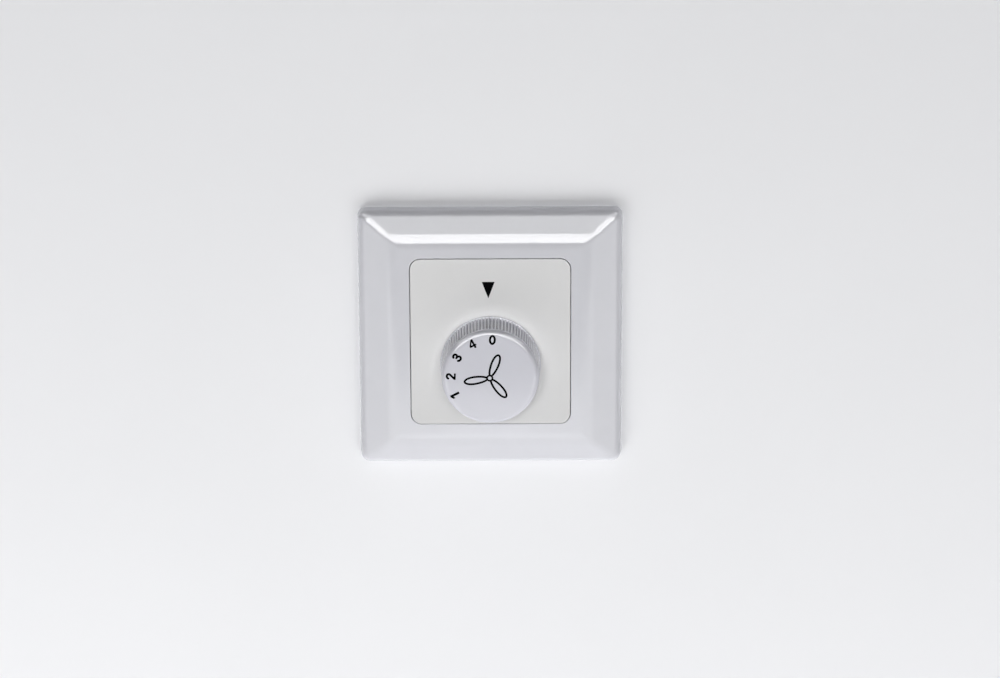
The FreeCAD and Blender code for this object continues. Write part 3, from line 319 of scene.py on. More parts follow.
def stations(per_side, per_corner):
    """Unit data of points round a rounded rectangle, closer together near the corners."""
    u = np.arange(per_side) / per_side
    t = 0.72 * 0.5 * (1 - np.cos(np.pi * u)) + 0.28 * u
    s = 2 * t - 1
    one = np.ones(per_side)
    turn = np.arange(per_corner) / per_corner * (np.pi / 2)
    ux, uz, ang = [], [], []
    for k, (sx, sz) in enumerate(((1, 1), (-1, 1), (-1, -1), (1, -1))):
        ux.append((one, -s, -one, s)[k])
        uz.append((s, one, -s, -one)[k])
        ang.append(np.full(per_side, k * np.pi / 2))
        ux.append(np.full(per_corner, sx))
        uz.append(np.full(per_corner, sz))
        ang.append(k * np.pi / 2 + turn)
    ang = np.concatenate(ang)
    return np.concatenate(ux), np.concatenate(uz), np.cos(ang), np.sin(ang)


UX, UZ, CA, SA = stations(84, 12)


def outline(hx, hz, r):
    return UX * (hx - r) + r * CA, UZ * (hz - r) + r * SA


def profile(t, ridge, fall):
    """Height and fall of the border's section at a distance from the middle: flat, rounded ridge, bevel."""
    turn = math.atan(fall)
    d = t - ridge + SOFT * math.tan(turn / 2)
    bend = np.clip(d, 0, SOFT * math.sin(turn))
    rim = np.sqrt(SOFT**2 - bend**2)
    plain = d >= SOFT * math.sin(turn)
    return np.where(plain, FRONT - (t - ridge) * fall, FRONT - SOFT + rim), np.where(plain, fall, bend / rim)


def crest(x, z):
    """Height of the frame's front at (x, z): the same section on all four sides, with the mitres rounded."""
    high_x, fall_x = profile(np.abs(x), RIDGE_X, FALL_X)
    high_z, fall_z = profile(np.abs(z), RIDGE_Z, FALL_Z)
    blend = MITRE * (fall_x**2 + fall_z**2) / 2.2 + 1e-6
    near = np.maximum(blend - np.abs(high_x - high_z), 0) / blend
    return np.minimum(high_x, high_z) - near * near * blend / 4


def frame_rows():
    rows = []

    def ring(hx, hz, r, w):
        x, z = outline(hx, hz, r)
        rows.append(np.stack([x, np.broadcast_to(w, x.shape), z], 1))

    # the rounded outer edge touches the drafted side and the bevel at each station
    grid = np.linspace(0.0, 4.0, 401)
    tops = np.stack([crest(*outline(SIDE - a, SIDE - a, CORNER)) for a in grid], 1)
    low, high = np.full(len(UX), 0.5), np.full(len(UX), 4.6)
    lean = math.radians(6.0)
    for _ in range(40):
        mid = (low + high) / 2
        ca = mid * DRAFT + EDGE / math.cos(lean)
        gap = np.hypot(grid[None, :] - ca[:, None], tops - mid[:, None]).min(1)
        low, high = np.where(gap > EDGE, mid, low), np.where(gap > EDGE, high, mid)
    cw = (low + high) / 2
    ca = cw * DRAFT + EDGE / math.cos(lean)
    touch = np.hypot(grid[None, :] - ca[:, None], tops - cw[:, None]).argmin(1)
    end_a = grid[touch]
    end_ang = np.arctan2(tops[np.arange(len(UX)), touch] - cw, end_a - ca)
    start_ang = np.full(len(UX), math.pi - lean)
    side_w = cw + EDGE * math.sin(lean)
    for f in (0.0, 0.04, 0.35, 0.7, 0.93):
        w = side_w * f
        ring(SIDE - w * DRAFT, SIDE - w * DRAFT, CORNER, w)
    # a fine break of the rear edge
    rows[0][:, 0] *= 0.9985
    rows[0][:, 2] *= 0.9985
    for f in np.linspace(0, 1, 17):
        ang = start_ang + (end_ang - start_ang) * f
        inset = ca + EDGE * np.cos(ang)
        x, z = outline(SIDE - inset, SIDE - inset, CORNER)
        rows.append(np.stack([x, cw + EDGE * np.sin(ang), z], 1))
    reach = 4.0
    for f in (0.2, 0.45, 0.72, 1.0):
        inset = end_a + (reach - end_a) * f
        x, z = outline(SIDE - inset, SIDE - inset, CORNER)
        rows.append(np.stack([x, crest(x, z), z], 1))
    x0, z0 = outline(SIDE - reach, SIDE - reach, CORNER)
    x1, z1 = outline(OPEN_X + LIP, OPEN_Z + LIP, OPEN_R + LIP)
    for f in np.linspace(0, 1, 73)[1:]:
        x, z = x0 + (x1 - x0) * f, z0 + (z1 - z0) * f
        rows.append(np.stack([x, crest(x, z), z], 1))
    for t in np.linspace(0, math.pi / 2, 10)[1:]:
        out = LIP - LIP * math.sin(t)
        ring(OPEN_X + out, OPEN_Z + out, OPEN_R + out, FRONT - LIP + LIP * math.cos(t))
    ring(OPEN_X, OPEN_Z, OPEN_R, 5.5)
    ring(OPEN_X, OPEN_Z, OPEN_R, 3.5)
    ring(OPEN_X - 1.15, OPEN_Z - 1.15, OPEN_R - 1.15, 3.5)
    ring(OPEN_X - 1.3, OPEN_Z - 1.3, OPEN_R - 1.3, 3.35)
    ring(OPEN_X - 1.3, OPEN_Z - 1.3, OPEN_R - 1.3, 2.4)
    ring(OPEN_X + 1.3, OPEN_Z + 1.3, OPEN_R + 1.3, 2.4)
    ring(OPEN_X + 1.5, OPEN_Z + 1.5, OPEN_R + 1.5, 2.6)
    ring(OPEN_X + 1.5, OPEN_Z + 1.5, OPEN_R + 1.5, 6.4)
    ring(OPEN_X + 1.9, OPEN_Z + 1.9, OPEN_R + 1.9, 6.8)
    inner_x, inner_z, inner_front = RIDGE_X - 1.9 * 0.4, RIDGE_Z - 1.9 * 0.4, FRONT - 1.9
    for hx, hz in ((29.34, 30.4), (29.9, 31.46), (31.2, 32.4), (34.0, 34.5), (36.6, 36.8), (38.1, 38.1)):
        x, z = outline(hx, hz, 2.4 if hx < 29.5 else 1.2)
        w = np.minimum(inner_front - (np.abs(x) - inner_x) * FALL_X, inner_front - (np.abs(z) - inner_z) * FALL_Z)
        rows.append(np.stack([x, np.minimum(w, inner_front), z], 1))
    ring(38.58, 38.58, 0.9, 2.5)
    ring(39.1, 39.1, 0.9, 0.15)
    ring(39.25, 39.25, 1.0, 0.0)
    return rows


verts, faces = bands(frame_rows(), True)
cover = new_object("cover_frame_shell", verts, faces, FRAME_WHITE, "housing")


rib_verts, rib_faces = [], []
for place in (-22.0, 0.0, 22.0):
    for turn in (0, 90, 180, 270):
        n = len(rib_verts)
        edge = OPEN_Z if turn in (0, 180) else OPEN_X
        c, s = math.cos(math.radians(turn)), math.sin(math.radians(turn))
        inner, outer = edge + 1.2, 38.75
        section = [(inner, 3.2), (outer, 3.2), (outer, 3.3), (32.3, 6.98), (31.3, 7.15), (inner, 7.15)]
        for side in (-0.6, 0.6):
            for z, w in section:
                x = place + side
                rib_verts.append((x * c + z * s, w, -x * s + z * c))
        m = len(section)
        rib_faces.append(tuple(n + i for i in range(m)))
        rib_faces.append(tuple(n + m + i for i in reversed(range(m))))
        for i in range(m):
            j = (i + 1) % m
            rib_faces.append((n + i, n + m + i, n + m + j, n + j))
ribs = new_object("rib_tool", rib_verts, rib_faces, FRAME_WHITE, "housing", sharp=34.0)


def unite(obj, tool):
    """Joins tool into obj as one closed skin."""
    mod = obj.modifiers.new("join", "BOOLEAN")
    mod.operation, mod.solver, mod.object = "UNION", "EXACT", tool
    dg = bpy.context.evaluated_depsgraph_get()
    fresh = bpy.data.meshes.new_from_object(obj.evaluated_get(dg))
    obj.modifiers.clear()
    old = obj.data
    obj.data = fresh
    bpy.data.meshes.remove(old)
    bpy.data.objects.remove(tool)
    while len(fresh.materials) > 1:
        fresh.materials.pop()
    fresh.polygons.foreach_set("material_index", [0] * len(fresh.polygons))
    fresh.set_sharp_from_angle(angle=math.radians(34.0))


unite(cover, ribs)
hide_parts("cover_frame")

# ------------------------------------------------------------------ knob
# Plain rim, ninety rounded ribs, smooth shoulder and flat face; hollow behind,
# with a hub that has a flatted bore.
AXIS_Z, PLATE, TRAY = -7.31, 8.2, 8.5
RIBS, STEPS = 90, 12
FACE_R, SHOULDER = 13.2, 1.75
KNOB_TOP = PLATE + 14.67


def knob():
    count = RIBS * STEPS
    phi = np.arange(count) / count * 2 * np.pi
    # rib section over one pitch: a narrow rounded land and a wider rounded groove
    u = np.abs(((np.arange(count) % STEPS) / STEPS) - 0.5) * 2
    cut = np.clip((u - 0.30) / (0.82 - 0.30), 0, 1)
    cut = cut * cut * (3 - 2 * cut)
    rows = []

    def ring(h, r, deep=0.0):
        rr = r - deep * cut
        rows.append(np.stack([rr * np.sin(phi), np.full(count, PLATE + h), AXIS_Z + rr * np.cos(phi)], 1))

    ring(0.66, 15.42)
    ring(0.70, 15.55)
    ring(0.78, 15.60)
    ring(1.02, 15.60)
    ring(1.12, 15.56)
    ring(1.18, 15.46)
    ring(1.24, 15.35, 0.10)
    ring(1.32, 15.343, 0.40)
    ring(1.44, 15.334, 0.52)
    for h in (4.0, 7.0, 10.0, 12.1):
        ring(h, 15.35 - 0.40 * (h - 0.95) / 12.05, 0.52)
    ring(12.40, 14.966, 0.52)
    ring(12.56, 14.960, 0.43)
    ring(12.66, 14.955, 0.16)
    ring(12.72, 14.95)
    ring(12.82, 14.95)
    for t in np.linspace(0, math.pi / 2, 19):
        ring(14.67 - SHOULDER + SHOULDER * math.sin(t), FACE_R + SHOULDER * math.cos(t))
    verts, faces = bands(rows, False)
    faces = list(faces)

    def cap(start, number, w, radii, flip):
        """Closes a flat ring towards its middle, with a third as many points at each step."""
        nonlocal verts, faces
        while radii:
            r, radii = radii[0], radii[1:]
            fewer = number // 3
            ang = np.arange(fewer) / fewer * 2 * np.pi
            base = len(verts)
            verts += [(r * math.sin(a), w, AXIS_Z + r * math.cos(a)) for a in ang]
            for i in range(fewer):
                o = [start + (3 * i + k) % number for k in range(4)]
                faces.append((*o, base + (i + 1) % fewer, base + i))
            start, number = base, fewer
        return start, number

    last = (len(rows) - 1) * count
    start, number = cap(last, count, KNOB_TOP, [12.9, 11.4, 7.5], False)
    mid = len(verts)
    verts.append((0.0, KNOB_TOP, AXIS_Z))
    for i in range(number):
        faces.append((start + i, start + (i + 1) % number, mid))
    # underside: flat rim, hollow, hub and flatted bore
    start, number = cap(0, count, PLATE + 0.66, [13.35], True)
    ang = np.arange(number) / number * 2 * np.pi
    inner = []

    def under(h, r, flat=None):
        rr = np.full(number, r)
        if flat:
            with np.errstate(divide="ignore"):
                reach = np.where(np.sin(ang) > 0.05, flat / np.maximum(np.sin(ang), 0.05), 99.0)
            rr = np.minimum(rr, reach)
        base = len(verts)
        verts.extend((q * math.sin(a), PLATE + h, AXIS_Z + q * math.cos(a)) for q, a in zip(rr, ang))
        inner.append(base)

    inner.append(start)
    under(0.81, 13.2)
    under(4.0, 13.09)
    under(8.0, 12.95)
    under(12.2, 12.81)
    under(12.5, 12.5)
    under(12.5, 5.7)
    under(12.2, 5.4)
    under(4.75, 5.4)
    under(4.6, 5.25)
    under(4.6, 3.25, 2.2)
    under(4.8, 3.04, 2.05)
    under(12.45, 3.04, 2.05)
    for a, b in zip(inner, inner[1:]):
        for i in range(number):
            j = (i + 1) % number
            faces.append((a + i, a + j, b + j, b + i))
    mid = len(verts)
    verts.append((0.0, PLATE + 12.45, AXIS_Z))
    for i in range(number):
        faces.append((inner[-1] + i, inner[-1] + (i + 1) % number, mid))
    return verts, faces


verts, faces = knob()
dial = new_object("knob_cap", verts, faces, KNOB_WHITE, "dial", sharp=40.0)
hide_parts("knob")


# ------------------------------------------------------------------ centre plate
# A shallow tray with a crisp front edge and a hole for the bush; its lower edge
# lies on the frame's opening.
def plate_rows():
    rows = []
    low, high, wide, skin = -26.62, 26.25, 24.7, 6.2

    def ring(inset, w, r):
        hz = (high - low) / 2 - inset
        x, z = outline(wide - inset, hz, max(r, 0.2))
        rows.append(np.stack([x, np.full(x.shape, w), z + (high + low) / 2], 1))

    def hole(r, w):
        a = np.arctan2(UZ * 26.4 + 0.6 * SA, UX * 24.7 + 0.6 * CA)
        rows.append(np.stack([r * np.cos(a), np.full(a.shape, w), AXIS_Z + r * np.sin(a)], 1))

    ring(0.0, 3.75, 3.25)
    ring(0.0, 6.0, 3.25)
    ring(0.0, TRAY - 0.45, 3.25)
    for t in np.linspace(0, math.pi / 2, 7):
        ring(0.11 - 0.11 * math.cos(t), TRAY - 0.11 + 0.11 * math.sin(t), 3.25 - 0.11 + 0.11 * math.cos(t))
    ring(0.6, TRAY, 2.8)
    ring(2.5, TRAY, 2.2)
    ring(9.5, TRAY, 2.2)
    hole(9.4, TRAY)
    hole(9.2, PLATE)
    hole(5.6, PLATE)
    hole(5.3, PLATE)
    hole(5.2, PLATE - 0.1)
    hole(5.2, 4.6)
    hole(8.0, 4.6)
    hole(8.0, skin - 0.3)
    hole(8.3, skin)
    ring(9.0, skin, 2.2)
    ring(1.9, skin, 1.4)
    ring(1.6, skin - 0.3, 1.65)
    ring(1.6, 3.75, 1.65)
    ring(1.45, 3.6, 1.8)
    ring(0.15, 3.6, 3.1)
    return rows


verts, faces = bands(plate_rows(), True)
tray = new_object("centre_plate_tray", verts, faces, PLATE_WHITE, "housing", sharp=40.0)
peg_verts, peg_faces = [], []
for px in (-20.0, 20.0):
    n, m = len(peg_verts), 40
    for w, r in ((6.6, 1.5), (0.35, 1.5), (0.12, 1.25)):
        for i in range(m):
            a = 2 * math.pi * i / m
            peg_verts.append((px + r * math.cos(a), w, 18.0 + r * math.sin(a)))
    peg_faces.append(tuple(n + i for i in range(m)))
    peg_faces.append(tuple(n + 2 * m + i for i in reversed(range(m))))
    for k in (0, 1):
        for i in range(m):
            j = (i + 1) % m
            peg_faces.append((n + k * m + i, n + k * m + j, n + (k + 1) * m + j, n + (k + 1) * m + i))
unite(tray, new_object("peg_tool", peg_verts, peg_faces, PLATE_WHITE, "housing"))
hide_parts("centre_plate")


# ------------------------------------------------------------------ case and ring
def softened(name, node, width, least, slot):
    """A copy of a CAD node with its main outer edges rounded, as a mould or a press leaves them."""
    bm = bmesh.new()
    bm.from_mesh(nodes[node].data)
    bmesh.ops.remove_doubles(bm, verts=bm.verts, dist=1e-7)
    bmesh.ops.dissolve_limit(
        bm, angle_limit=math.radians(0.5), verts=bm.verts, edges=bm.edges, use_dissolve_boundaries=False
    )
    area = {f: f.calc_area() for f in bm.faces}
    outer = [
        e for e in bm.edges
        if len(e.link_faces) == 2
        and math.radians(50) < e.calc_face_angle_signed(0) < math.radians(130)
        and min(area[f] for f in e.link_faces) > least * 1e-6
    ]
    bmesh.ops.bevel(
        bm, geom=outer, offset=width * MM, offset_type="OFFSET", segments=3, profile=0.5, affect="EDGES",
        clamp_overlap=False, loop_slide=True,
    )
    bmesh.ops.remove_doubles(bm, verts=bm.verts, dist=1e-7)
    mesh = bpy.data.meshes.new(name)
    bm.to_mesh(mesh)
    bm.free()
    mesh.materials.append(SLOTS[slot])
    mesh.polygons.foreach_set("material_index", [0] * len(mesh.polygons))
    mesh.shade_smooth()
    mesh.set_sharp_from_angle(angle=math.radians(40.0))
    obj = bpy.data.objects.new(name, mesh)
    scene.collection.objects.link(obj)
    even = obj.modifiers.new("even", "WEIGHTED_NORMAL")
    even.keep_sharp, even.weight = True, 90
    dg = bpy.context.evaluated_depsgraph_get()
    fresh = bpy.data.meshes.new_from_object(obj.evaluated_get(dg))
    obj.modifiers.clear()
    obj.data = fresh
    bpy.data.meshes.remove(mesh)
    fresh.name = name
    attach(obj, "housing")
    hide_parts(node)


softened("switch_base_case", "switch_base", 0.3, 4.0, "case_grey")
softened("switch_cover_case", "switch_cover", 0.3, 4.0, "case_grey")
softened("mounting_ring_sheet", "mounting_ring", 0.14, 1.0, "zinc_steel")

# ------------------------------------------------------------------ printed marks
def segments(points, closed=False):
    p = np.asarray(points, float)
    q = np.roll(p, -1, 0) if closed else p[1:]
    return np.stack([p if closed else p[:-1], q], 1)


def curve(cx, cy, rx, ry, a0, a1, n=40):
    """Points of an elliptic arc, angles in degrees counter-clockwise from the right."""
    t = np.radians(np.linspace(a0, a1, n))
    return np.stack([cx + rx * np.cos(t), cy + ry * np.sin(t)], 1)


def to_strokes(grid, strokes, half):
    best = np.full(grid.shape[:2], 1e9)
    for segs in strokes:
        for a, b in segs:
            d = b - a
            t = np.clip(((grid - a) @ d) / max(d @ d, 1e-12), 0, 1)
            best = np.minimum(best, np.hypot(*np.moveaxis(grid - a - t[..., None] * d, 2, 0)))
    return best - half


def to_polygon(grid, points):
    """Signed distance to a closed polygon, negative inside."""
    p = np.asarray(points, float)
    best = np.full(grid.shape[:2], 1e9)
    inside = np.zeros(grid.shape[:2], bool)
    x, y = grid[..., 0], grid[..., 1]
    for a, b in zip(p, np.roll(p, -1, 0)):
        d = b - a
        t = np.clip(((grid - a) @ d) / max(d @ d, 1e-12), 0, 1)
        best = np.minimum(best, np.hypot(*np.moveaxis(grid - a - t[..., None] * d, 2, 0)))
        crosses = (a[1] > y) != (b[1] > y)
        at = a[0] + (y - a[1]) * d[0] / (d[1] if abs(d[1]) > 1e-12 else 1e-12)
        inside ^= crosses & (x < at)
    return np.where(inside, -best, best)


def contours(field, xs, ys):
    """Closed lines where the field is zero, by walking the cells that it crosses."""
    f = np.where(np.abs(field) < 1e-9, 1e-9, field)
    inside = f < 0
    nxt = {}
    place = {}

    def point(i, j, k, m):
        key = (i, j, k, m)
        if key not in place:
            t = f[i, j] / (f[i, j] - f[k, m])
            place[key] = (xs[j] + t * (xs[m] - xs[j]), ys[i] + t * (ys[k] - ys[i]))
        return key

    code = (
        inside[:-1, :-1] * 1 + inside[:-1, 1:] * 2 + inside[1:, 1:] * 4 + inside[1:, :-1] * 8
    )
    for i, j in zip(*np.nonzero((code > 0) & (code < 15))):
        bottom, right = (i, j, i, j + 1), (i, j + 1, i + 1, j + 1)
        top, left = (i + 1, j, i + 1, j + 1), (i, j, i + 1, j)
        pairs = {
            1: [(left, bottom)], 2: [(bottom, right)], 3: [(left, right)], 4: [(right, top)],
            5: [(left, top), (right, bottom)], 6: [(bottom, top)], 7: [(left, top)], 8: [(top, left)],
            9: [(top, bottom)], 10: [(bottom, left), (top, right)], 11: [(top, right)], 12: [(right, left)],
            13: [(right, bottom)], 14: [(bottom, left)],
        }[int(code[i, j])]
        for a, b in pairs:
            nxt[point(*a)] = point(*b)
    loops = []
    while nxt:
        start, here = next(iter(nxt.items()))
        loop = [start]
        del nxt[start]
        while here != start and here in nxt:
            loop.append(here)
            here = nxt.pop(here)
        pts = [place[k] for k in loop]
        step = abs(xs[1] - xs[0])
        kept = []
        for p in pts:
            if not kept or math.dist(p, kept[-1]) > 0.35 * step:
                kept.append(p)
        if len(kept) > 8:
            loops.append(kept)
    return loops


def mark(name, field_of, half_x, half_y, step, centre, turn, height, body, thick=0.02, sink=0.012):
    """A thin printed film: field_of gives the signed distance in the mark's own plane."""
    xs = np.arange(-half_x, half_x + step, step)
    ys = np.arange(-half_y, half_y + step, step)
    grid = np.stack(np.meshgrid(xs, ys), 2)
    loops = contours(field_of(grid), xs, ys)
    c, s = math.cos(math.radians(turn)), math.sin(math.radians(turn))
    tris = tessellate_polygon([[Vector((x, y, 0)) for x, y in loop] for loop in loops])
    flat = [p for loop in loops for p in loop]
    n = len(flat)
    verts = []
    for lift in (thick, -sink):
        for x, y in flat:
            px, pz = centre[0] + x * c + y * s, centre[1] - x * s + y * c
            verts.append((px, height(px, pz) + lift, pz))
    faces = [tuple(t) for t in tris] + [tuple(n + i for i in reversed(t)) for t in tris]
    k = 0
    for loop in loops:
        m = len(loop)
        for i in range(m):
            j = (i + 1) % m
            faces.append((k + i, k + j, n + k + j, n + k + i))
        k += m
    return new_object(name, verts, faces, INK, body, sharp=40.0)


def on_knob(x, z):
    """Height of the knob's face, which falls away over its shoulder."""
    out = max(math.hypot(x, z - AXIS_Z) - FACE_R, 0.0)
    return KNOB_TOP - SHOULDER + math.sqrt(max(SHOULDER**2 - out**2, 0.0))


HALF = 0.335
ZERO = [segments(curve(0, 0, 0.74, 1.235, 0, 360, 72), True)]
TWO = [
    segments(np.concatenate([
        curve(0.0, 0.66, 0.70, 0.575, 168, -28, 30),
        [(0.42, 0.16), (0.05, -0.28), (-0.36, -0.70), (-0.70, -1.10)],
    ])),
]
THREE = [
    segments(curve(-0.02, 0.675, 0.64, 0.56, 158, -70, 30)),
    segments(curve(-0.02, -0.60, 0.74, 0.635, 70, -160, 36)),
    segments([(-0.22, 0.075), (0.22, 0.085)]),
]


def digit_0(g):
    return to_strokes(g, ZERO, HALF)


def digit_1(g):
    stem = to_polygon(g, [(0.04, 1.5), (0.74, 1.5), (0.74, -1.5), (0.0, -1.5), (0.0, 0.82)])
    flag = to_polygon(g, [(0.16, 1.5), (0.74, 1.5), (0.74, 0.96), (0.04, 0.62), (-0.66, 0.28), (-0.66, 0.94)])
    return np.minimum(stem, flag)


def digit_2(g):
    foot = to_polygon(g, [(-1.02, -1.5), (1.0, -1.5), (1.0, -0.93), (-0.60, -0.93), (-1.02, -1.22)])
    return np.minimum(to_strokes(g, TWO, HALF), foot)


def digit_3(g):
    return to_strokes(g, THREE, HALF)


def digit_4(g):
    outer = to_polygon(g, [(0.14, 1.5), (0.74, 1.5), (0.74, -1.5), (0.12, -1.5), (0.12, -0.86), (-1.08, -0.86), (-1.08, -0.34)])
    bar = to_polygon(g, [(-1.08, -0.86), (1.08, -0.86), (1.08, -0.30), (-1.05, -0.30)])
    hole = to_polygon(g, [(0.12, 0.66), (0.12, -0.30), (-0.46, -0.30)])
    return np.maximum(np.minimum(outer, bar), -hole)


PRINT_R, PRINT_X, PRINT_Z = 12.165, 0.05, AXIS_Z - 0.16
for k, shape in enumerate((digit_0, digit_4, digit_3, digit_2, digit_1)):
    turn = 2.81 - 30.0 * k
    a = math.radians(turn)
    spot = (PRINT_X + PRINT_R * math.sin(a), PRINT_Z + PRINT_R * math.cos(a))
    mark("print_" + shape.__name__, shape, 1.35, 1.8, 0.025, spot, turn, on_knob, "dial")

HUB_X, HUB_Z = PRINT_X - 0.26, PRINT_Z


def blade(degrees, skew):
    """Outline of one blade: a slim loop, narrower where it leaves the hub."""
    n = 90
    t = np.linspace(0, 2 * np.pi, n, endpoint=False)
    along = 0.5 - 0.5 * np.cos(t)
    half = 1.17 * np.sin(t) * (0.80 + 0.26 * along)
    length, start = 7.05, 0.72
    v = start + length * along
    a = math.radians(degrees + skew)
    root = math.radians(degrees)
    # the loop leans a little from the spoke on which it starts
    bx, bz = start * (math.sin(root) - math.sin(a)), start * (math.cos(root) - math.cos(a))
    x = bx + half * math.cos(a) + v * math.sin(a)
    z = bz - half * math.sin(a) + v * math.cos(a)
    return segments(np.stack([x, z], 1), True)


def fan_sign(g):
    blades = [blade(d, 3.0) for d in (18.0, 138.0, 258.5)]
    ring = segments(curve(0, 0, 0.78, 0.78, 0, 360, 48), True)
    d = to_strokes(g, blades + [ring], 0.31)
    eye = np.hypot(g[..., 0], g[..., 1]) - 0.555
    return np.maximum(d, -eye)


mark("print_fan", fan_sign, 8.6, 8.6, 0.05, (HUB_X, HUB_Z), 0.0, on_knob, "dial")


def pointer(g):
    return to_polygon(g, [(-1.90, 2.58), (1.90, 2.58), (0.0, -2.46)]) - 0.06


mark("print_pointer", pointer, 2.3, 3.0, 0.03, (-0.6, 16.5), 0.0, lambda x, z: TRAY, "housing")


# ------------------------------------------------------------------ stage
def wall_panel():
    """A pale painted panel behind the frame, seen from the room side only."""
    half = 0.21
    mesh = bpy.data.meshes.new("wall")
    mesh.from_pydata(
        [(-half, 0, -half), (half, 0, -half), (half, 0, half), (-half, 0, half)], [], [(0, 1, 2, 3)]
    )
    f = Finish("wall_paint")
    cloud = f.noise(60.0, 3.0, 0.5)
    f.colour(f.mixed(f.spread(cloud, 0.0, 1.0), (0.780, 0.784, 0.804), (0.790, 0.794, 0.814)))
    f.rough(f.spread(f.noise(6.0, 3.0, 0.5), 0.55, 0.65))
    f.bump(f.noise(1.6, 2.0, 0.5), 0.006)
    clear = f.add("ShaderNodeBsdfTransparent")
    side = f.add("ShaderNodeNewGeometry").outputs["Backfacing"]
    mix = f.add("ShaderNodeMixShader")
    f.link(side, mix.inputs[0])
    f.link(f.bsdf.outputs[0], mix.inputs[1])
    f.link(clear.outputs[0], mix.inputs[2])
    f.link(mix.outputs[0], f.out.inputs[0])
    mesh.materials.append(f.mat)
    obj = bpy.data.objects.new("wall", mesh)
    scene.collection.objects.link(obj)
    return obj


panel = wall_panel()


def sky():
    """Pale surroundings for the eye and for gloss, with a soft glow high up and less straight below."""
    world = bpy.data.worlds.new("studio")
    world.use_nodes = True
    tree = world.node_tree
    tree.nodes.clear()
    out = tree.nodes.new("ShaderNodeOutputWorld")
    back = tree.nodes.new("ShaderNodeBackground")
    back.inputs["Color"].default_value = (0.985, 0.99, 1.0, 1.0)
    place = tree.nodes.new("ShaderNodeTexCoord")
    split = tree.nodes.new("ShaderNodeSeparateXYZ")
    ramp = tree.nodes.new("ShaderNodeValToRGB")
    rise = tree.nodes.new("ShaderNodeMath")
    rise.operation = "MULTIPLY_ADD"
    rise.inputs[1].default_value = rise.inputs[2].default_value = 0.5
    gain = tree.nodes.new("ShaderNodeMath")
    gain.operation = "MULTIPLY"
    gain.inputs[1].default_value = 10.2
    tree.links.new(place.outputs["Generated"], split.inputs[0])
    tree.links.new(split.outputs["Z"], rise.inputs[0])
    tree.links.new(rise.outputs[0], ramp.inputs[0])
    tree.links.new(ramp.outputs[0], gain.inputs[0])
    tree.links.new(gain.outputs[0], back.inputs["Strength"])
    glow = ((0.04, 0.010), (0.13, 0.079), (0.75, 0.079), (0.80, 0.72), (0.86, 0.68), (0.94, 0.30), (1.0, 0.10))
    dots = ramp.color_ramp.elements
    while len(dots) < len(glow):
        dots.new(0.5)
    for dot, (at, value) in zip(dots, glow):
        dot.position = at
        dot.color = (value, value, value, 1.0)
    # the eye sees an even pale backdrop
    plain = tree.nodes.new("ShaderNodeBackground")
    plain.inputs["Color"].default_value = (0.985, 0.99, 1.0, 1.0)
    plain.inputs["Strength"].default_value = 0.8
    seen = tree.nodes.new("ShaderNodeLightPath").outputs["Is Camera Ray"]
    mix = tree.nodes.new("ShaderNodeMixShader")
    tree.links.new(seen, mix.inputs[0])
    tree.links.new(back.outputs[0], mix.inputs[1])
    tree.links.new(plain.outputs[0], mix.inputs[2])
    tree.links.new(mix.outputs[0], out.inputs[0])
    scene.world = world
    world.cycles_visibility.diffuse = False


sky()


def lamp(name, place, aim, width, height, radiance, colour=(1, 1, 1), lights="all"):
    """A rectangular soft light of a given radiance, for all surfaces, only their gloss or only their body colour."""
    data = bpy.data.lights.new(name, "AREA")
    data.shape = "RECTANGLE"
    data.size, data.size_y = width, height
    data.energy = radiance * math.pi * width * height
    data.color = colour
    obj = bpy.data.objects.new(name, data)
    scene.collection.objects.link(obj)
    obj.location = place
    obj.rotation_euler = (Vector(aim) - Vector(place)).to_track_quat("-Z", "Y").to_euler()
    obj.visible_camera = False
    obj.visible_diffuse = lights != "gloss"
    obj.visible_glossy = lights != "body"
    return obj


def towards(azimuth, elevation, distance):
    a, e = math.radians(azimuth), math.radians(elevation)
    return (distance * math.sin(a) * math.cos(e), -distance * math.cos(a) * math.cos(e), distance * math.sin(e))


# soft boxes mirrored by the frame's upper ridge and mitres, and by flat faces that look a little down
MIDDLE = (0.0, 0.0, 0.0)
lamp("gleam", towards(0, 22.0, 1.6), MIDDLE, 2.6, 0.74, 12.5, lights="gloss")
lamp("floor", towards(0, -28.6, 1.6), MIDDLE, 2.6, 0.645, 2.0, lights="gloss")
lamp("gloss_left", towards(-52, -10.0, 1.6), MIDDLE, 0.7, 0.9, 1.2, lights="gloss")
lamp("gloss_right", towards(52, -10.0, 1.6), MIDDLE, 0.7, 0.9, 1.5, lights="gloss")
# a strip above the camera that only the knob's ribs mirror, down on to the plate behind them
strip = lamp("strip", towards(0, 12.5, 1.6), MIDDLE, 2.6, 0.16, 320.0, lights="gloss")
strip.data.use_nodes = True
leaves = strip.data.node_tree
path = leaves.nodes.new("ShaderNodeLightPath")
after = leaves.nodes.new("ShaderNodeMath")
after.operation = "GREATER_THAN"
after.inputs[1].default_value = 0.5
leaves.links.new(path.outputs["Diffuse Depth"], after.inputs[0])
leaves.links.new(after.outputs[0], next(n for n in leaves.nodes if n.type == "EMISSION").inputs["Strength"])
mirror = bpy.data.collections.new("strip_receiver")
mirror.objects.link(dial)
strip.light_linking.receiver_collection = mirror
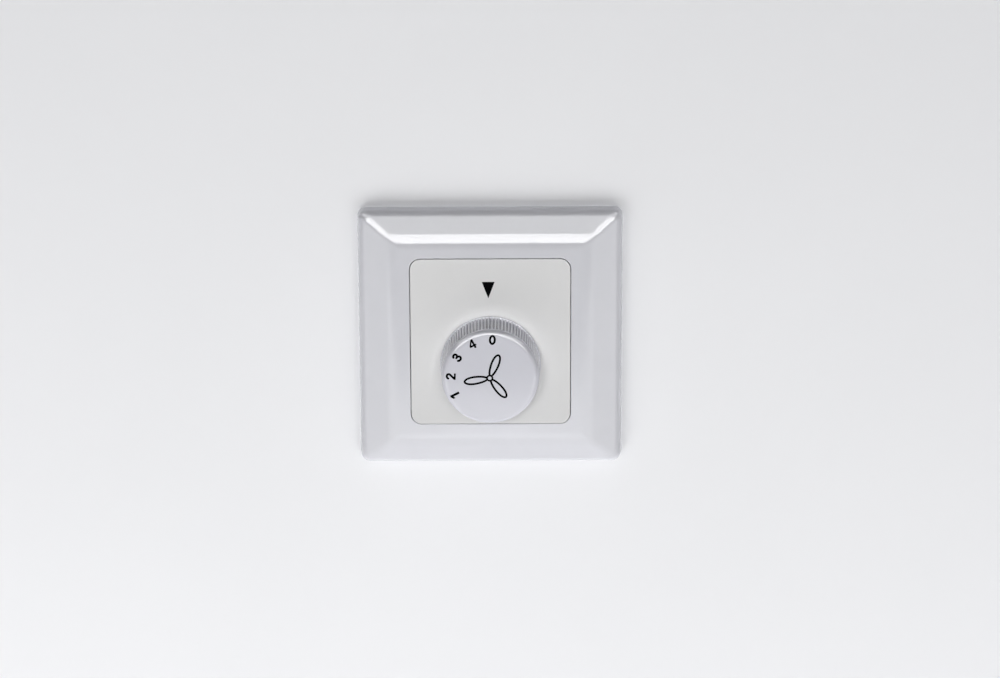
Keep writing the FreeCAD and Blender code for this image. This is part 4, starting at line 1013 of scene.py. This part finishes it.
# large soft boxes: the low pair leaves the upper edges in shade, and mostly passes the knob
low_key = lamp("low_key", towards(-5, -47.0, 0.9), MIDDLE, 1.4, 0.6, 1.80, lights="body")
low_fill = lamp("low_fill", towards(-5, -47.0, 0.9), MIDDLE, 1.4, 0.6, 1.84, lights="body")
lamp("top_fill", towards(0, 25.0, 0.9), MIDDLE, 1.2, 0.5, 0.40, lights="body")
left_fill = lamp("left_fill", towards(-48, 0.0, 0.9), MIDDLE, 0.6, 0.8, 0.90, lights="body")
right_fill = lamp("right_fill", towards(48, 0.0, 0.9), MIDDLE, 0.6, 0.8, 1.02, lights="body")
# on the plate two small frontal ones replace the sides and much of the low pair, for the knob's close shade
plate_lamps = [
    lamp("plate_left", towards(-10, 12.0, 0.9), MIDDLE, 0.19, 0.20, 21.65, lights="body"),
    lamp("plate_right", towards(9, 12.0, 0.9), MIDDLE, 0.19, 0.20, 14.97, lights="body"),
    lamp("plate_low", towards(-5, -47.0, 0.9), MIDDLE, 1.4, 0.6, 1.30, lights="body"),
]
# on the wall wider ones take the place of the second low one and of the sides, for the frame's shade
wall_lamps = [
    lamp("wall_left", towards(-48, 0.0, 0.9), MIDDLE, 0.6, 0.8, 0.67, lights="body"),
    lamp("wall_right", towards(48, 0.0, 0.9), MIDDLE, 0.6, 0.8, 0.67, lights="body"),
    lamp("wall_low_left", towards(-42, -42.0, 0.9), MIDDLE, 0.6, 0.6, 3.18, lights="body"),
    lamp("wall_low_right", towards(42, -42.0, 0.9), MIDDLE, 0.6, 0.6, 1.97, lights="body"),
]
# behind the wall: one soft box straight behind, which the wall lets through, and one on each side
rear_axis = lamp("rear_axis", towards(180, 0.0, 2.0), MIDDLE, 0.6, 0.6, 20.0)
lamp("rear_left", towards(222, 30.0, 0.9), (0, 0.01, 0), 0.6, 0.5, 4.2)
lamp("rear_right", towards(132, 8.0, 0.9), (0, 0.01, 0), 0.5, 0.5, 2.6)


def shades_all_but(light, open_object):
    """Every mesh except one stops this light."""
    group = bpy.data.collections.new(light.name + "_blockers")
    for o in scene.objects:
        if o.type == "MESH" and o is not open_object:
            group.objects.link(o)
    light.light_linking.blocker_collection = group


def lights(light, chosen):
    """Only the chosen meshes are lit by this light."""
    group = bpy.data.collections.new(light.name + "_receivers")
    for o in chosen:
        group.objects.link(o)
    light.light_linking.receiver_collection = group


meshes = [o for o in scene.objects if o.type == "MESH"]
shades_all_but(low_key, dial)
lights(low_key, [o for o in meshes if o is not tray])
for one in (low_fill, left_fill, right_fill):
    lights(one, [o for o in meshes if o is not tray and o is not panel])
for one in plate_lamps:
    lights(one, [tray])
for one in wall_lamps:
    lights(one, [panel])
shades_all_but(rear_axis, panel)


# ------------------------------------------------------------------ camera
def camera():
    tilt, roll, yaw = math.radians(16.062), math.radians(-0.234), math.radians(-0.07)
    distance, aim = 0.95303, Vector((2.948 * MM, 0.0, -1.602 * MM))
    look = Vector((math.sin(yaw) * math.cos(tilt), math.cos(yaw) * math.cos(tilt), -math.sin(tilt)))
    side = Vector((math.cos(yaw), -math.sin(yaw), 0.0))
    up = side.cross(look)
    right = math.cos(roll) * side + math.sin(roll) * up
    over = -math.sin(roll) * side + math.cos(roll) * up
    data = bpy.data.cameras.new("camera")
    data.sensor_width = 36.0
    data.lens = 109.83
    data.clip_start, data.clip_end = 0.01, 20.0
    obj = bpy.data.objects.new("camera", data)
    scene.collection.objects.link(obj)
    m = Matrix((right, over, -look)).transposed().to_4x4()
    m.translation = aim - distance * look
    obj.matrix_world = m
    scene.camera = obj


camera()
scene.view_settings.view_transform = "Standard"
